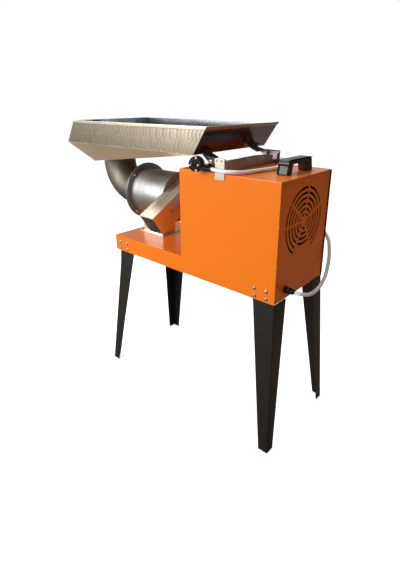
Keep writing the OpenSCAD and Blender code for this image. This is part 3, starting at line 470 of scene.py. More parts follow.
spun_aluminium = brushed_metal(
    "spun_aluminium", (0.80, 0.80, 0.79), (0.62, 0.62, 0.61), 0.25, 0.45, (300, 8, 8), 0.25)
weld_metal = brushed_metal(
    "weld_metal", (0.50, 0.46, 0.39), (0.26, 0.21, 0.16), 0.3, 0.5, (120, 120, 120), 0.5, 70.0)
metal_names = ("steel", "plate", "metal", "aluminium")
print("metals made:", sum(m.name.endswith(metal_names) for m in bpy.data.materials))

# %% [markdown]
# ## The engine-turned walls
# The long hopper walls use the same steel with the polishing swirls on top: every
# touch is a little brighter or duller than its neighbour, it is smoothest where the
# pad edge passed last, and the next touch leaves a faint step.

# %% Engine-turned stainless for the long walls
swirled_steel = hopper_sheet_steel.copy()
swirled_steel.name = "swirled_steel"
tree = swirled_steel.node_tree
shader = tree.nodes["Principled BSDF"]
swirls = use_effect(tree, polishing_swirls)
broad_tone = use_effect(tree, cloudy_tone, Size=7.0)
crescent_share = reckon(tree, "MULTIPLY", swirls.outputs["Crescent"], 0.6)
touch_share = reckon(tree, "MULTIPLY", swirls.outputs["Touch"], 0.25)
tone_share = reckon(tree, "MULTIPLY", broad_tone.outputs["Tone"], 0.5)
shade = reckon(tree, "ADD", reckon(tree, "ADD", crescent_share, touch_share), tone_share)
# The dark tan of the engine-turned walls is a painted reflection of a brown surround; the crescent steps
# are the polishing pattern.
swirl_sheet = mix_colours(tree, (0.105, 0.078, 0.048), (0.385, 0.35, 0.285))
swirl_gloss = place(tree, "ShaderNodeMapRange", {1: 0.2, 2: 0.9, 3: 0.44, 4: 0.26})
step_bump = place(tree, "ShaderNodeBump", {"Strength": 0.12, "Distance": 0.0004})
join(tree, shade, swirl_sheet.inputs[0])
join(tree, swirl_sheet.outputs[2], shader.inputs["Base Color"])
join(tree, shade, swirl_gloss.inputs[0])
wire(tree, [
    (swirl_gloss, 0, shader, "Roughness"),
    (swirls, "Crescent", step_bump, "Height"),
    (step_bump, 0, shader, "Normal"),
])
print("finish ready:", swirled_steel.name)


# %% [markdown]
# ## Plastics and rubber
# Moulded plastic is spark eroded in the mould, which leaves a fine even pebble; rubber
# is duller, with a faint bloom. The lead's sheath is soft plastic and almost smooth.

# %% A maker for plastics and rubber
def moulded(name, light, dark, smooth, dull, pebble, depth):
    finish, tree, shader = new_finish(name)
    tone = use_effect(tree, cloudy_tone, Size=22.0)
    wear = use_effect(tree, shed_wear, Speck_Size=420.0)
    body = mix_colours(tree, dark, light)
    gloss = place(tree, "ShaderNodeMapRange", {1: 0.35, 2: 0.65, 3: smooth, 4: dull})
    where = place(tree, "ShaderNodeTexCoord")
    grain = place(tree, "ShaderNodeTexNoise", {"Scale": pebble, "Detail": 2.0})
    scratched = place(tree, "ShaderNodeMath", {1: -0.4}, operation="MULTIPLY")
    height = place(tree, "ShaderNodeMath", operation="ADD")
    bump = place(tree, "ShaderNodeBump", {"Strength": depth, "Distance": 0.0003})
    wire(tree, [
        (tone, "Tone", body, 0),
        (body, 2, shader, "Base Color"),
        (tone, "Tone", gloss, 0),
        (gloss, 0, shader, "Roughness"),
        (where, "Object", grain, "Vector"),
        (wear, "Scratches", scratched, 0),
        (grain, "Fac", height, 0),
        (scratched, 0, height, 1),
        (height, 0, bump, "Height"),
        (bump, 0, shader, "Normal"),
    ])
    return finish


# %% Plastics, rubbers and castings of the machine
black_grip_plastic = moulded(
    "black_grip_plastic", (0.012, 0.012, 0.0135), (0.006, 0.006, 0.007), 0.24, 0.42, 700.0, 0.2)
switch_plastic = moulded(
    "switch_plastic", (0.030, 0.031, 0.034), (0.016, 0.016, 0.018), 0.35, 0.55, 800.0, 0.3)
gasket_rubber = moulded(
    "gasket_rubber", (0.030, 0.028, 0.026), (0.014, 0.013, 0.012), 0.6, 0.85, 500.0, 0.4)
# The sheath's blue tint is painted light; the lead itself is white.
white_sheath = moulded("white_sheath", (0.92, 0.96, 1.0), (0.86, 0.90, 0.96), 0.3, 0.45, 350.0, 0.12)
green_push = moulded("green_push", (0.020, 0.34, 0.09), (0.012, 0.24, 0.06), 0.25, 0.4, 900.0, 0.12)
red_push = moulded("red_push", (0.56, 0.020, 0.016), (0.42, 0.012, 0.010), 0.25, 0.4, 900.0, 0.12)
grey_casting = moulded("grey_casting", (0.20, 0.21, 0.22), (0.11, 0.115, 0.12), 0.42, 0.65, 240.0, 0.7)
lamination_steel = brushed_metal(
    "lamination_steel", (0.24, 0.23, 0.22), (0.12, 0.11, 0.10), 0.4, 0.6, (900, 6, 6), 0.8)
print("finishes made so far:", len(bpy.data.materials))


# %% [markdown]
# ## Softening a part's edges
# Bent and cut sheet never has a knife edge: a fold has a radius, a cut edge is
# deburred, and both catch a thin highlight. The frame's own meshes stay untouched.
# Each part is copied, its loose triangles are merged, its flat faces are cleaned,
# and a weighted bevel rounds the edges. The weight is worked out from how wide the
# two faces beside an edge are, so a fold gets a full radius and a thin cut edge only
# a hair.

# %% Copy a part with softened edges
bevel_unit = 0.01
fold_angle = math.radians(32)
face_share = 0.3


def mesh_of(name, work):
    """Closes a bmesh and keeps it as a mesh."""
    mesh = bpy.data.meshes.new(name)
    work.to_mesh(mesh)
    work.free()
    return mesh


def softened(name, node, radius, finish, slot, body, special=None, steps=3, shape=None):
    """A copy of one frame part with rounded edges.

    shape(work) may change the copy first; special(middle) may give an edge its own radius.
    """
    work = bmesh.new()
    work.from_mesh(parts[node].data)
    bmesh.ops.remove_doubles(work, verts=work.verts, dist=1e-6)
    bmesh.ops.dissolve_limit(
        work, angle_limit=math.radians(0.4), verts=work.verts, edges=work.edges)
    if shape:
        shape(work)
    weight = work.edges.layers.float.new("bevel_weight_edge")
    for edge in work.edges:
        if len(edge.link_faces) != 2 or edge.calc_face_angle(0) < fold_angle:
            continue
        if edge.calc_length() < 1e-6:
            continue
        wide = min(2 * face.calc_area() / face.calc_perimeter() for face in edge.link_faces)
        size = min(radius, face_share * wide)
        if special:
            own = special(((edge.verts[0].co + edge.verts[1].co) / 2 - zero) * 1000)
            size = size if own is None else own / 1000
        edge[weight] = max(0.0, min(1.0, size / bevel_unit))
    piece = put_in_scene(name, mesh_of(name, work))
    bevel = piece.modifiers.new("edge", "BEVEL")
    bevel.limit_method = "WEIGHT"
    bevel.width = bevel_unit
    bevel.segments = steps
    bevel.use_clamp_overlap = False
    bevel.miter_outer = "MITER_SHARP"
    return settle(piece, finish, slot, body, node)


def apply_modifiers(piece):
    """Replaces a piece's mesh with what its modifiers make of it."""
    bpy.context.view_layer.update()
    seen = piece.evaluated_get(bpy.context.evaluated_depsgraph_get())
    mesh = bpy.data.meshes.new_from_object(seen)
    piece.modifiers.clear()
    piece.data = mesh
    return mesh


def settle(piece, finish, slot, body, *nodes, smooth=42):
    """Turns a piece with modifiers into a plain mesh, smooths it and hands it to its body."""
    mesh = apply_modifiers(piece)
    mesh.shade_smooth()
    mesh.set_sharp_from_angle(angle=math.radians(smooth))
    even = piece.modifiers.new("even_shading", "WEIGHTED_NORMAL")
    even.keep_sharp = True
    even.weight = 100
    mesh = apply_modifiers(piece)
    mesh.name = piece.name
    if finish:
        mesh.materials.clear()
        mesh.materials.append(finish)
    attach(piece, body)
    if nodes:
        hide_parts(*nodes)
    return piece


# %% [markdown]
# ## The folded cabinet
# Side sheets, top and deck look like one skin because the brake folds them round the
# corner with the paint on top. In the frame they are separate sheets. The fold is
# put where the eye sees it: the upper outer edges of the top and of the deck get a
# radius of nearly the whole sheet, and the joint below them stays shut.

# %% Folds along the top and the deck
def outer_fold(height, front_end):
    """Bends the upper outer edges of a level sheet and leaves its lower ones alone."""
    def own_radius(middle):
        if middle.z < height - 1.5:
            return 0
        outer = abs(abs(middle.y) - half_width) < 0.2 or middle.x < front_end
        return 1.8 if outer and middle.z > height - 0.1 else None
    return own_radius


def side_fold(middle):
    return 0 if middle.z > 277.5 or 44 < middle.z < 45 else None


def lower_lip(work):
    """The vented sheet hangs a hair lower than the frame draws it, behind the leg tops."""
    for corner in work.verts:
        if (corner.co.z - zero.z) * 1000 < 1.0:
            corner.co.z -= 0.0016


def paint_inside_shade(piece, inwards, least=0.7):
    """Gives the faces that look into the cabinet a dull dark painted shade."""
    piece.data.materials.append(inside_primer)
    for face in piece.data.polygons:
        if face.normal.dot(Vector(inwards)) > least:
            face.material_index = 1


cabinet_faces = 0
for name, node, radius, special, shape, inwards in (
    ("near_side_sheet", "near_side_panel", 0.0006, side_fold, None, (0, 1, 0)),
    ("far_side_sheet", "far_side_panel", 0.0006, side_fold, None, (0, -1, 0)),
    ("top_sheet", "top_panel", 0.0006, outer_fold(280, -291.9), None, (0, 0, -1)),
    ("deck_sheet", "deck_plate", 0.0006, outer_fold(46.5, -576.9), None, (0, 0, -1)),
    ("front_skirt", "deck_skirt", 0.0006, lambda middle: 0, None, None),
    ("front_wall", "bulkhead_panel", 0.0006, None, None, (1, 0, 0)),
    ("vented_end_panel", "rear_panel", 0.0005, None, lower_lip, (-1, 0, 0)),
):
    sheet = softened(name, node, radius, orange_enamel, "orange_paint", "frame", special, shape=shape)
    # Faces that look into the cabinet get painted shade.
    if inwards:
        paint_inside_shade(sheet, inwards)
    cabinet_faces += len(sheet.data.polygons)
print("cabinet faces:", cabinet_faces)

# %% [markdown]
# ## Legs
# Each leg is one blade of sheet folded lengthwise and cut to a taper. The outer fold
# gets a proper bend radius, which is the bright line that runs down every leg. The
# tops stand inside the cabinet's shade, so they get the same dark painted shade.

# %% Folded sheet legs
for side in ("near", "far"):
    for end in ("rear", "front"):
        leg = softened(
            f"{side}_{end}_leg", f"leg_{side}_{end}", 0.0026, charcoal_enamel, "black_paint", "frame")
        # Leg tops get painted shade.
        paint_inside_shade(leg, (0, 0, 1), 0.6)
        print(leg.name, len(leg.data.polygons), "faces")

# %% [markdown]
# ## Drum, elbow and chute
# These are rolled and welded from thin stainless sheet. Their shapes come straight
# from the frame, softened a little at the cut edges.

# %% Rolled parts, gasket and neck
for name, node, radius, finish, slot in (
    ("feed_elbow_pipe", "feed_elbow", 0.0006, elbow_steel, "stainless"),
    ("drum_shell", "drum_casing", 0.0006, drum_steel, "stainless"),
    ("drum_end_disc", "drum_rear_disc", 0.0007, drum_steel, "stainless"),
    ("stem_chute", "discharge_chute", 0.0006, chute_steel, "stainless"),
    ("must_duct_sheet", "must_duct", 0.0006, chute_steel, "stainless"),
    ("inlet_gasket", "flange_gasket", 0.0003, gasket_rubber, "rubber"),
    ("perforated_screen", "drum_screen", 0.0002, drum_steel, "stainless"),
    ("bearing_neck_casting", "bearing_neck", 0.001, grey_casting, "grey_metal"),
):
    piece = softened(name, node, radius, finish, slot, "frame")
    print(f"{name}: {len(piece.data.polygons)} faces")

# %% [markdown]
# ## The hopper
# The hopper is folded from stainless sheet with its corners welded and its rim
# hemmed. It takes five finishes, so its faces are sorted by where they stand: the long
# upright walls are engine-turned, the rim has a tone of its own, the inside has a painted
# cool reflection, the wall that faces the cabinet has painted shade, and the rest is plain
# brushed sheet. Every face also gets a flat layout in metres, square to the way it faces,
# for the swirls.

# %% Flat layout in metres for a folded sheet
def lay_flat(piece):
    layout = piece.data.uv_layers.new(name="flat_layout")
    for face in piece.data.polygons:
        n = face.normal
        for corner in face.loop_indices:
            p = piece.data.vertices[piece.data.loops[corner].vertex_index].co
            if abs(n.y) >= max(abs(n.x), abs(n.z)):
                layout.data[corner].uv = (p.x, p.z)
            elif abs(n.x) >= abs(n.z):
                layout.data[corner].uv = (p.y, p.z)
            else:
                layout.data[corner].uv = (p.x, p.y)


# %% Hopper in five finishes
hopper = softened("feed_hopper", "hopper_shell", 0.0008, None, "stainless", "hopper", steps=2)
lay_flat(hopper)
hopper.data.materials.clear()
for finish in (
    swirled_steel, hopper_sheet_steel, hopper_inner_steel, shaded_sheet_steel, rim_steel,
):
    hopper.data.materials.append(finish)
swirled, plain_sheet, inner, shaded, rim = range(5)
outer_wall, rim_low, rim_top = 144.8, 375.8, 383.2
hopper_middle, rear_end = -460, -300
wall_low, wall_high = mm(0, 0, 320).z, mm(0, 0, 376).z
for face in hopper.data.polygons:
    spot = (face.center - zero) * 1000
    from_axis = Vector((spot.x - hopper_middle, spot.y, 0)).normalized()
    n = face.normal
    looks_in = n.z > 0.3 or (abs(n.z) < 0.9 and n.dot(from_axis) < -0.05)
    on_long_wall = abs(spot.y) > outer_wall and wall_low < face.center.z < wall_high
    if on_long_wall and abs(n.y) > 0.7:
        face.material_index = swirled
    elif spot.z > rim_low and not looks_in:
        face.material_index = rim
    # Inward faces get a painted cool reflection.
    elif looks_in and spot.z < rim_top:
        face.material_index = inner
    # Faces towards the cabinet get painted shade.
    elif n.x > 0.7 and spot.x > rear_end:
        face.material_index = shaded
    else:
        face.material_index = plain_sheet
print("engine-turned faces:", sum(f.material_index == swirled for f in hopper.data.polygons))

# %% Hinge sheet parts
for name, node, body, finish in (
    ("hopper_arm_near_sheet", "hopper_arm_near", "hopper", hinge_steel),
    ("hopper_arm_far_sheet", "hopper_arm_far", "hopper", hinge_steel),
    # The ears use the dark shaded sheet: painted shade.
    ("near_ear", "hinge_ear_near", "frame", shaded_sheet_steel),
    ("far_ear", "hinge_ear_far", "frame", shaded_sheet_steel),
    ("arched_cross_plate", "hinge_cross_plate", "frame", hinge_steel),
):
    softened(name, node, 0.0006, finish, "stainless", body)
for name, node in (("near_strap", "ear_strap_near"), ("far_strap", "ear_strap_far")):
    softened(name, node, 0.0006, bright_steel, "stainless", "frame")
print("hinge parts softened")

# %% [markdown]
# ## Turned parts
# Screws, nuts, gland and plug are all turned shapes: an outline swept round an axis. A
# lathe helper takes the outline as rings of radius and height. A ring may also be
# drawn as a hexagon, which is all it takes to make a nut or a hex socket.

# %% A small lathe
def lathe(work, rings, sides=24, move=Matrix.Identity(4)):
    """Adds a turned shape to a bmesh, from rings of (radius, height) in mm, "hex" for a hexagon."""
    loops = []
    for ring in rings:
        radius, height = ring[0] / 1000, ring[1] / 1000
        hexed = len(ring) > 2
        if radius < 1e-7:
            loops.append([work.verts.new(move @ Vector((0, 0, height)))])
            continue
        loop = []
        for k in range(sides):
            angle = 2 * math.pi * k / sides
            reach = radius
            if hexed:
                off_corner = (angle + math.pi / 6) % (math.pi / 3) - math.pi / 6
                reach *= math.cos(math.pi / 6) / math.cos(off_corner)
            spot = Vector((reach * math.cos(angle), reach * math.sin(angle), height))
            loop.append(work.verts.new(move @ spot))
        loops.append(loop)
    for low, high in zip(loops, loops[1:]):
        for k in range(sides):
            a, b = low[k % len(low)], low[(k + 1) % len(low)]
            c, d = high[(k + 1) % len(high)], high[k % len(high)]
            corners = [v for i, v in enumerate((a, b, c, d)) if v not in (a, b, c, d)[:i]]
            if len(corners) > 2:
                work.faces.new(corners)


def turned_mesh(name, shapes, sides=24):
    """A mesh made of one or more turned shapes on the Z axis."""
    work = bmesh.new()
    for rings in shapes:
        lathe(work, rings, sides)
    bmesh.ops.recalc_face_normals(work, faces=work.faces)
    mesh = mesh_of(name, work)
    mesh.shade_smooth()
    mesh.set_sharp_from_angle(angle=math.radians(35))
    return mesh


def turned_piece(name, work):
    """Puts a bmesh of turned shapes in the scene with its faces looking outwards."""
    bmesh.ops.recalc_face_normals(work, faces=work.faces)
    return put_in_scene(name, mesh_of(name, work))


# %% Outlines of the fasteners, head up, seat at height 0
def dome_head(r, h, socket, shank, length):
    """A dome head with a hex socket on its shank."""
    return [
        (0, -length), (shank * 0.8, -length), (shank, -length + 0.6), (shank, -0.01),
        (r * 0.97, 0.0), (r, h * 0.12), (r * 0.93, h * 0.5), (r * 0.72, h * 0.82),
        (socket * 1.35, h), (socket * 1.1, h * 0.97, "hex"),
        (socket, h * 0.86, "hex"), (socket, h * 0.4, "hex"), (0, h * 0.33),
    ]


def washer(r, hole, low, high):
    return [
        (hole, low), (r - 0.25, low), (r, low + 0.25), (r, high - 0.25), (r - 0.25, high),
        (hole, high), (hole, low),
    ]


def hex_block(r, hole, low, high):
    """A nut or a hex head between two heights, with its corners turned off."""
    return [
        (hole, low), (r * 0.86, low), (r * 0.99, low + 0.5, "hex"),
        (r * 0.99, high - 0.5, "hex"), (r * 0.86, high), (hole, high),
    ]


# %% [markdown]
# ## Fasteners on their places
# One screw mesh is repeated wherever the frame has a hole. A tree of geometry nodes
# does the repeating: it stands a copy of the fastener on every point, turns it to
# face the way the point says, and gives each a different twist, as nobody lines up
# screw sockets. The tree is built once, with the fastener, twist and finish as
# inputs.

# %% Node tree: fasteners on points
def new_tree(name, sockets):
    tree = bpy.data.node_groups.new(name, "GeometryNodeTree")
    tree.interface.new_socket(name="Geometry", in_out="INPUT", socket_type="NodeSocketGeometry")
    tree.interface.new_socket(name="Geometry", in_out="OUTPUT", socket_type="NodeSocketGeometry")
    for label, kind, value in sockets:
        socket = tree.interface.new_socket(name=label, in_out="INPUT", socket_type=kind)
        if value is not None:
            socket.default_value = value
    return tree, place(tree, "NodeGroupInput"), place(tree, "NodeGroupOutput")


def end_tree(tree, copies, given, gives):
    """Ends a tree: the copies are made real and get the finish."""
    real = place(tree, "GeometryNodeRealizeInstances")
    paint = place(tree, "GeometryNodeSetMaterial")
    wire(tree, [
        (copies, 0, real, 0),
        (real, 0, paint, "Geometry"),
        (given, "Finish", paint, "Material"),
        (paint, 0, gives, "Geometry"),
    ])


fastener_tree, given, gives = new_tree(
    "fasteners_on_points",
    [("Fastener", "NodeSocketObject", None), ("Twist Seed", "NodeSocketInt", 3),
     ("Finish", "NodeSocketMaterial", None)],
)
facing = place(
    fastener_tree, "GeometryNodeInputNamedAttribute", {"Name": "facing"}, data_type="FLOAT_VECTOR")
fetch = place(fastener_tree, "GeometryNodeObjectInfo", {"As Instance": True})
stand = place(fastener_tree, "GeometryNodeInstanceOnPoints")
aim_head = place(fastener_tree, "FunctionNodeAlignRotationToVector", axis="Z")
twist = place(fastener_tree, "FunctionNodeRandomValue", {2: 0.0, 3: 1.05}, data_type="FLOAT")
spin = place(fastener_tree, "FunctionNodeAxisAngleToRotation", {"Axis": (0, 0, 1)})
turn = place(fastener_tree, "FunctionNodeRotateRotation", rotation_space="LOCAL")
wire(fastener_tree, [
    (given, "Fastener", fetch, "Object"),
    (given, "Geometry", stand, "Points"),
    (fetch, "Geometry", stand, "Instance"),
    (facing, "Attribute", aim_head, "Vector"),
    (given, "Twist Seed", twist, "Seed"),
    (twist, "Value", spin, "Angle"),
    (aim_head, 0, turn, "Rotation"),
    (spin, 0, turn, "Rotate By"),
    (turn, 0, stand, "Rotation"),
])
end_tree(fastener_tree, stand, given, gives)
print("tree ready:", fastener_tree.name)


# %% Run a tree and keep its result as a plain mesh
def grow(name, start_mesh, tree, values):
    """Runs a node tree on a mesh and returns an object that holds the plain result."""
    piece = put_in_scene(name, start_mesh)
    run = piece.modifiers.new(tree.name, "NODES")
    run.node_group = tree
    for socket in tree.interface.items_tree:
        if socket.item_type == "SOCKET" and socket.in_out == "INPUT" and socket.name in values:
            run[socket.identifier] = values[socket.name]
    apply_modifiers(piece).name = name
    return piece


def fasten(name, node, shapes, places, sides=24):
    """Sets one kind of fastener at every place, given as (x, y, z, facing) in mm."""
    pattern = put_in_scene(name + "_pattern", turned_mesh(name + "_pattern", shapes, sides))
    dots = bpy.data.meshes.new(name + "_places")
    dots.from_pydata([mm(*p[:3]) for p in places], [], [])
    towards = dots.attributes.new("facing", "FLOAT_VECTOR", "POINT")
    towards.data.foreach_set("vector", [c for p in places for c in p[3]])
    piece = grow(
        name, dots, fastener_tree, {"Fastener": pattern, "Twist Seed": 7, "Finish": zinc_plate})
    bpy.data.objects.remove(pattern)
    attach(piece, "frame")
    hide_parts(node)
    print(f"{name}: {len(places)} set, {len(piece.data.polygons)} faces")


# %% Every screw, bolt and nut of the machine
near, far, back, front, up = (0, -1, 0), (0, 1, 0), (1, 0, 0), (-1, 0, 0), (0, 0, 1)
both_sides = ((-1, near), (1, far))
handle_x, handle_y = -43.5, 13.5


def bolt_circle(x, radius):
    """Four places at 45 degrees round the drum's axis, that face the hopper's front."""
    corners = [math.radians(a) for a in (45, 135, 225, 315)]
    return [(x, radius * math.cos(a), axis_height + radius * math.sin(a), front) for a in corners]


rear_screw_yz = [
    (-100.5, 270), (0, 270), (100.5, 270),
    (-107.5, 89.6), (107.5, 89.6), (-107.5, 177.8), (107.5, 177.8),
]
fasten("vented_end_screws", "rear_panel_screws", [dome_head(3.4, 2.2, 1.1, 1.8, 7)],
       [(-3, y, z, back) for y, z in rear_screw_yz])
fasten("leg_bolt_set", "leg_bolts",
       [dome_head(4.6, 2.7, 1.6, 3, 10.5), washer(5.3, 3, -0.02, 0.6), hex_block(5.5, 3, -9.5, -4.5)],
       [(x, side * half_width, z, facing)
        for side, facing in both_sides for x in (-55, -23, -555, -523) for z in (9, 28)])
fasten("flange_bolt_set", "flange_bolts",
       [[(0, -12.5), (2.2, -12.5), (2.5, -12), (2.5, 0)], washer(5.6, 2.5, -0.02, 1.0),
        hex_block(4.6, 0, 1.0, 4.4), hex_block(4.6, 2.5, -9.5, -5.5)],
       bolt_circle(-552, 78))
fasten("strap_screw_set", "strap_screws", [dome_head(2.8, 1.6, 0.9, 1.5, 5)],
       [(x, side * 117.5, 309, facing) for side, facing in both_sides for x in (-170, -156)])
fasten("pivot_bolt_set", "pivot_bolts",
       [dome_head(7, 4.5, 2.4, 4, 12.6), hex_block(7, 4, -11.6, -6.8)],
       [(-188, side * half_width, 305, facing) for side, facing in both_sides], sides=48)
fasten("duct_bolt_set", "must_duct_bolts",
       [dome_head(4.2, 2.8, 1.5, 2.5, 9), hex_block(4.2, 2.5, -8, -4.2)],
       [(x, y, 48.5, up) for x in (-547.5, -452.5) for y in (-31.5, 31.5)])
fasten("chute_tie_bolt", "chute_bolts",
       [dome_head(4.5, 2.8, 1.5, 2, 53),
        [(0, -56), (3.2, -55.4), (4.4, -53.4), (4.4, -53.02), (2, -53.02)]],
       [(-351, -89.5, 155, back)])
fasten("handle_screw_set", "handle_screws",
       [[(0, -4), (4.0, -4), (4.5, -3.5), (4.5, -0.4), (4.0, 0), (2.5, 0), (2.5, 13), (2.2, 13.8),
         (0, 13.8)]],
       [(handle_x, handle_y + side * 49, 278, up) for side in (-1, 1)])
fasten("neck_bolt_set", "neck_bolts",
       [hex_block(3.4, 2, -9.8, -6.55), [(0, -9.9), (2, -9.9), (2, 0)], hex_block(3.4, 0, 0, 3.2)],
       bolt_circle(-352.5, 31) + bolt_circle(-297, 31))
fasten("motor_bolt_set", "motor_bolts",
       [hex_block(5, 0, 0, 4), [(0, -13), (3, -13), (3, 0)], hex_block(5, 3, -12.5, -8)],
       bolt_circle(-292, 70))

# %% [markdown]
# ## Weld beads
# The corners of the hopper and the joints of the elbow are welded. A weld is a row of
# small overlapping drops along a seam. Setting each drop by hand is not sensible, so a
# tree of geometry nodes walks along the seam, sets a flattened drop at every step, and
# varies its size a little, as a hand does. The seam, the spacing, the drop size and the
# finish are its inputs.

# %% Node tree: weld bead along a seam
bead_tree, given, gives = new_tree(
    "weld_bead_along_seam",
    [("Spacing", "NodeSocketFloat", 0.0022), ("Drop Radius", "NodeSocketFloat", 0.0014),
     ("Finish", "NodeSocketMaterial", None)],
)
seam = place(bead_tree, "GeometryNodeMeshToCurve")
walk = place(bead_tree, "GeometryNodeCurveToPoints", mode="LENGTH")
drop = place(bead_tree, "GeometryNodeMeshIcoSphere", {"Subdivisions": 2})
soften_drop = place(bead_tree, "GeometryNodeSetShadeSmooth")
set_drops = place(bead_tree, "GeometryNodeInstanceOnPoints")
vary = place(bead_tree, "FunctionNodeRandomValue", {2: 0.82, 3: 1.18}, data_type="FLOAT")
flat = place(bead_tree, "ShaderNodeVectorMath", {0: (0.75, 1.0, 0.9)}, operation="SCALE")
wire(bead_tree, [
    (given, "Geometry", seam, "Mesh"),
    (seam, 0, walk, "Curve"),
    (given, "Spacing", walk, "Length"),
    (given, "Drop Radius", drop, "Radius"),
    (drop, "Mesh", soften_drop, 0),
    (walk, "Points", set_drops, "Points"),
    (soften_drop, 0, set_drops, "Instance"),
    (walk, "Rotation", set_drops, "Rotation"),
    (vary, "Value", flat, "Scale"),
    (flat, 0, set_drops, "Scale"),
])
end_tree(bead_tree, set_drops, given, gives)
print("tree ready:", bead_tree.name)


# %% Seams that are welded
def weld(name, seams, spacing, radius, body):
    """Lays beads along one or more seams, each a list of (x, y, z) in mm."""
    line = bpy.data.meshes.new(name + "_seams")
    dots, steps = [], []
    for points in seams:
        steps += [(len(dots) + i, len(dots) + i + 1) for i in range(len(points) - 1)]
        dots += [mm(*p) for p in points]
    line.from_pydata(dots, steps, [])
    sizes = {"Spacing": spacing / 1000, "Drop Radius": radius / 1000, "Finish": weld_metal}
    piece = grow(name, line, bead_tree, sizes)
    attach(piece, body)
    print(f"{name}: {len(piece.data.polygons)} faces")


def ring_seam(centre, radius, axis, parts_of_turn=64):
    """A round seam about the x or z axis."""
    turns = [2 * math.pi * k / parts_of_turn for k in range(parts_of_turn + 1)]
    x, y, z = centre
    if axis == "x":
        return [(x, y + radius * math.cos(a), z + radius * math.sin(a)) for a in turns]
    return [(x + radius * math.cos(a), y + radius * math.sin(a), z) for a in turns]


elbow_seams = [
    ring_seam((-552.3, 0, axis_height), 51.3, "x"),
    ring_seam((-596, 0, axis_height), 50.7, "x"),
    ring_seam((-682, 0, 257), 50.7, "z"),
]
weld("elbow_welds", elbow_seams, 1.9, 1.1, "frame")
corner_seams = []
for side in (-1, 1):
    corner_seams.append([
        (-683, side * 95.9, 261.4), (-743.6, side * 145.2, 319.6), (-705.6, side * 145.4, 375.5)])
    corner_seams.append([(-218.2, side * 145.3, 319.8), (-181.6, side * 145.4, 375.5)])
weld("hopper_corner_welds", corner_seams, 2.0, 0.9, "hopper")

# %% [markdown]
# ## Handle, switch and gland
# The bridge handle and the switch housing are moulded in black plastic, so their edges
# are rounder than those of sheet. The gland is turned: a nut behind the sheet, a hexagon
# in front of it, and a ribbed sleeve that gets thinner towards the lead.

# %% Moulded parts
def screw_pockets(work):
    """Sinks a pocket into the outer face of each foot, short of the screw hole behind it."""
    middle = mm(0, handle_y, 0).y
    rim, depth, least_area, least_reach = 0.0045, 0.0035, 0.0004, 0.05
    ends = [
        face for face in work.faces
        if abs(face.normal.y) > 0.95 and face.calc_area() > least_area
        and abs(face.calc_center_median().y - middle) > least_reach
    ]
    for end in ends:
        bmesh.ops.inset_region(work, faces=[end], thickness=rim, depth=0.0)
        bmesh.ops.translate(work, verts=end.verts, vec=end.normal * -depth)


handle = softened(
    "bridge_handle", "carry_handle", 0.003, black_grip_plastic, "black_plastic", "frame",
    shape=screw_pockets)
switch = softened("switch_housing", "switch_box", 0.0025, switch_plastic, "black_plastic", "frame")
softened("start_push", "start_button", 0.0012, green_push, "green_button", "start_button")
softened("stop_push", "stop_button", 0.0012, red_push, "red_button", "stop_button")
gland_outline = [
    (4.6, -9.4), (5.9, -9.4), (5.9, -7.6), (8.4, -7.6), (8.9, -7.1), (8.9, -2.6), (8.4, -2.2),
    (5.9, -2.2), (5.9, 0.1), (7.9, 0.1), (8.9, 0.6, "hex"), (8.9, 5.0, "hex"), (7.9, 5.6),
    (8.3, 6.4), (8.2, 9.5), (7.3, 12.0), (6.4, 13.2),
]
for k in range(5):
    ridge, groove, start = 7.6 - 0.16 * k, 6.8 - 0.14 * k, 1.9 * k
    gland_outline += [(ridge, 13.6 + start), (ridge, 14.5 + start)]
    gland_outline += [(groove, 14.8 + start), (groove, 15.4 + start)]
gland_outline += [(6.3, 23.6), (5.6, 24.6), (4.6, 24.8), (4.6, -9.4)]
gland_stand = (Matrix.Translation(mm(0, *lead_exit[1:])) @ Matrix.Rotation(math.radians(90), 4, "Y")
               @ Matrix.Translation((0, 0, -0.003)))
work = bmesh.new()
lathe(work, gland_outline, 48, gland_stand)
gland = turned_piece("lead_gland", work)
settle(gland, black_grip_plastic, "black_plastic", "frame", "cable_gland", smooth=38)
print("moulded parts:", handle.name, switch.name, gland.name)

# %% [markdown]
# ## The plug
# The plug is a round angle plug: a flat face with two pins and two earth clips, a
# gripping skirt, a back that narrows, and a ribbed sleeve where the lead enters from
# the side. Body, skirt and pins are turned; the clips are small bent strips.

# %% Body and sleeve of the plug
plug_stand = (Matrix.Translation(mm(-222, -125, 298.8)) @ Matrix.Rotation(math.radians(27), 4, "Z")
              @ Matrix.Rotation(math.radians(90), 4, "X") @ Matrix.Translation((0, 0, 0.0135)))
work = bmesh.new()
plug_outline = [
    (0, 1.2), (12.6, 1.2), (13.4, 0.9), (14.2, -1.4), (15.6, -1.6), (16.4, -0.4), (17.6, 0.0),
    (18.4, -0.7), (18.5, -2.0), (18.5, -8.2), (17.6, -9.0), (17.5, -10.0), (17.9, -10.8),
    (17.6, -14.5), (16.2, -18.5), (13.5, -22.5), (9.5, -25.6), (5, -26.8), (0, -27),
]
lathe(work, plug_outline, 48, plug_stand)
sleeve_start = mm(-181.5, -122.3, 289.5)
towards_body = Matrix.Rotation(math.radians(-90), 4, "Y")
sleeve = [(4.6, -1.0), (5.4, -0.8)]
for k in range(8):
    ridge, start = 5.5 + 0.18 * k, 2.6 * k
    sleeve += [(ridge, 1.2 + start), (ridge, 2.4 + start)]
    sleeve += [(ridge - 0.8, 2.6 + start), (ridge - 0.8, 3.4 + start)]
sleeve += [(6.6, 22.5), (6.8, 25), (6.8, 29)]
lathe(work, sleeve, 32, Matrix.Translation(sleeve_start) @ towards_body)
plug = turned_piece("mains_plug", work)
settle(plug, black_grip_plastic, "black_plastic", "frame", "power_plug", smooth=38)
print("plug body faces:", len(plug.data.polygons))

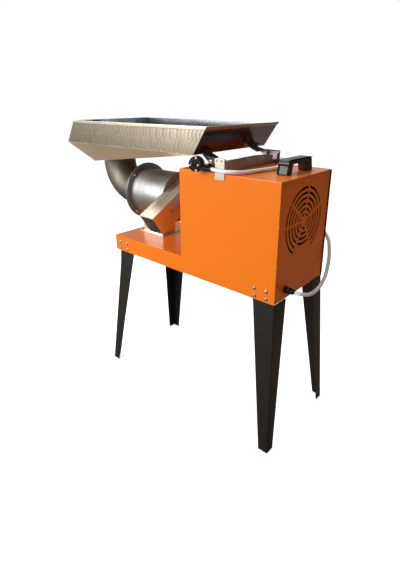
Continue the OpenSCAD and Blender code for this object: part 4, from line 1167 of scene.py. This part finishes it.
# %% Pins and earth clips
work = bmesh.new()
for side in (-1, 1):
    pin = [(2.4, -1), (2.4, 16.6), (2.2, 17.8), (1.5, 18.7), (0, 19)]
    lathe(work, pin, 24, plug_stand @ Matrix.Translation((side * 0.0095, 0, 0)))
for side in (-1, 1):
    for depths, rises in (((-0.3, 1.5), (11.5, 18.7)), ((-9.0, 0.6), (18.2, 18.9))):
        v = [work.verts.new(plug_stand @ Vector((w, side * r / 1000, d / 1000)))
             for d in depths for r in rises for w in (-0.0024, 0.0024)]
        for quad in ((0, 1, 3, 2), (4, 6, 7, 5), (0, 4, 5, 1), (2, 3, 7, 6), (0, 2, 6, 4), (1, 5, 7, 3)):
            work.faces.new([v[i] for i in quad])
pins = turned_piece("plug_pins", work)
clip_edge = pins.modifiers.new("edge", "BEVEL")
clip_edge.width = 0.0002
clip_edge.segments = 1
clip_edge.limit_method = "ANGLE"
settle(pins, nickel_plate, "zinc", "frame")
print("pin faces:", len(pins.data.polygons))

mains_lead.data.materials.append(white_sheath)
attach(mains_lead, "frame")
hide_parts("power_cord")

# %% [markdown]
# ## Parts inside the cabinet and the drum
# The motor, fan, shaft and paddles are only glimpsed through the vents, the chute and
# the hopper mouth, but they are there and turn. They keep their frame shapes and get
# finishes of their own.

# %% Finishes for the inner parts
inner_finishes = {
    "rotor_shaft": bright_steel, "beater_paddles": drum_steel, "shaft_coupling": grey_casting,
    "motor_shaft": bearing_steel, "cooling_fan": switch_plastic, "motor_front_shield": grey_casting,
    "motor_housing": grey_casting, "stator_core": lamination_steel, "motor_rear_shield": grey_casting,
    "fan_cowl": charcoal_enamel, "terminal_box": switch_plastic, "capacitor": spun_aluminium,
    "shaft_bearings": bearing_steel, "shaft_seal": gasket_rubber,
}
for node, finish in inner_finishes.items():
    parts[node].data.materials.clear()
    parts[node].data.materials.append(finish)
print("frame parts with their own finish:", len(inner_finishes))

# %% [markdown]
# ## Floor and light
# A pale floor and a soft studio: one large light high at the near left, a weaker one
# over the top, and a surround that is bright on the hopper side and dim behind the
# vented end. The dim side lets the vented panel fall into shade, as it does when a
# machine stands with its back to a wall.

# %% Pale floor
floor_mesh = bpy.data.meshes.new("pale_floor")
reach, below = 9, -0.0006
corners = [(-reach, -reach, below), (reach, -reach, below), (reach, reach, below), (-reach, reach, below)]
floor_mesh.from_pydata(corners, [], [(0, 1, 2, 3)])
floor = put_in_scene("pale_floor", floor_mesh)
floor_finish, tree, pale = new_finish("pale_floor")
tone = use_effect(tree, cloudy_tone, Size=1.5)
floor_mix = mix_colours(tree, (0.88, 0.88, 0.875), (0.92, 0.92, 0.915))
pale.inputs["Roughness"].default_value = 0.9
pale.inputs["Specular IOR Level"].default_value = 0.1
pale.inputs["Emission Color"].default_value = (1, 1, 1, 1)
pale.inputs["Emission Strength"].default_value = 0.7
wire(tree, [
    (tone, "Tone", floor_mix, 0),
    (floor_mix, 2, pale, "Base Color"),
])
shed_floor = place(tree, "ShaderNodeBsdfDiffuse", {"Color": (0.30, 0.235, 0.175, 1)})
ray = place(tree, "ShaderNodeLightPath")
seen_or_mirrored = place(tree, "ShaderNodeMixShader")
wire(tree, [
    (ray, "Is Camera Ray", seen_or_mirrored, 0),
    (shed_floor, 0, seen_or_mirrored, 1),
    (pale, 0, seen_or_mirrored, 2),
])
join(tree, seen_or_mirrored.outputs[0], tree.nodes["Material Output"].inputs["Surface"])
floor_mesh.materials.append(floor_finish)


# %% Soft lights
def soft_light(name, place_at, look_at, size, power, colour):
    lamp = bpy.data.lights.new(name, "AREA")
    lamp.shape = "RECTANGLE"
    lamp.size, lamp.size_y = size
    lamp.energy = power
    lamp.color = colour
    holder = put_in_scene(name, lamp)
    holder.location = place_at
    holder.rotation_euler = (Vector(place_at) - Vector(look_at)).to_track_quat("Z", "Y").to_euler()


soft_light("near_side_light", (-1.3, -2.7, 1.5), (0, 0, 0.45), (2.4, 2.0), 105, (1.0, 0.96, 0.91))
soft_light("warm_fill", (2.6, 0.3, 0.9), (0, 0, 0.5), (1.2, 1.2), 7, (1.0, 0.58, 0.44))
soft_light("over_light", (-0.8, 0.5, 2.8), (0, 0, 0.5), (2.4, 2.4), 40, (0.97, 0.99, 1.0))

# %% Surround, bright on the hopper side
world = bpy.data.worlds.new("studio_surround")
bpy.context.scene.world = world
world.use_nodes = True
tree = world.node_tree
tree.nodes.clear()
where = place(tree, "ShaderNodeTexCoord")
facing = place(tree, "ShaderNodeVectorMath", {1: (0.9, 0.15, -0.1)}, operation="DOT_PRODUCT")
share = place(tree, "ShaderNodeMapRange", {1: -0.15, 2: 0.55}, interpolation_type="SMOOTHSTEP")
surround = mix_colours(tree, (0.84, 0.86, 0.90), (0.05, 0.042, 0.036))
glow = place(tree, "ShaderNodeBackground", {"Strength": 0.62})
backdrop = place(tree, "ShaderNodeBackground", {"Color": (1, 1, 1, 1), "Strength": 1.0})
ray = place(tree, "ShaderNodeLightPath")
choice = place(tree, "ShaderNodeMixShader")
out = place(tree, "ShaderNodeOutputWorld")
wire(tree, [
    (where, "Generated", facing, 0),
    (facing, "Value", share, 0),
    (share, 0, surround, 0),
    (surround, 2, glow, "Color"),
    (ray, "Is Camera Ray", choice, 0),
    (glow, 0, choice, 1),
    (backdrop, 0, choice, 2),
    (choice, 0, out, "Surface"),
])
bpy.context.scene.view_settings.view_transform = "Standard"
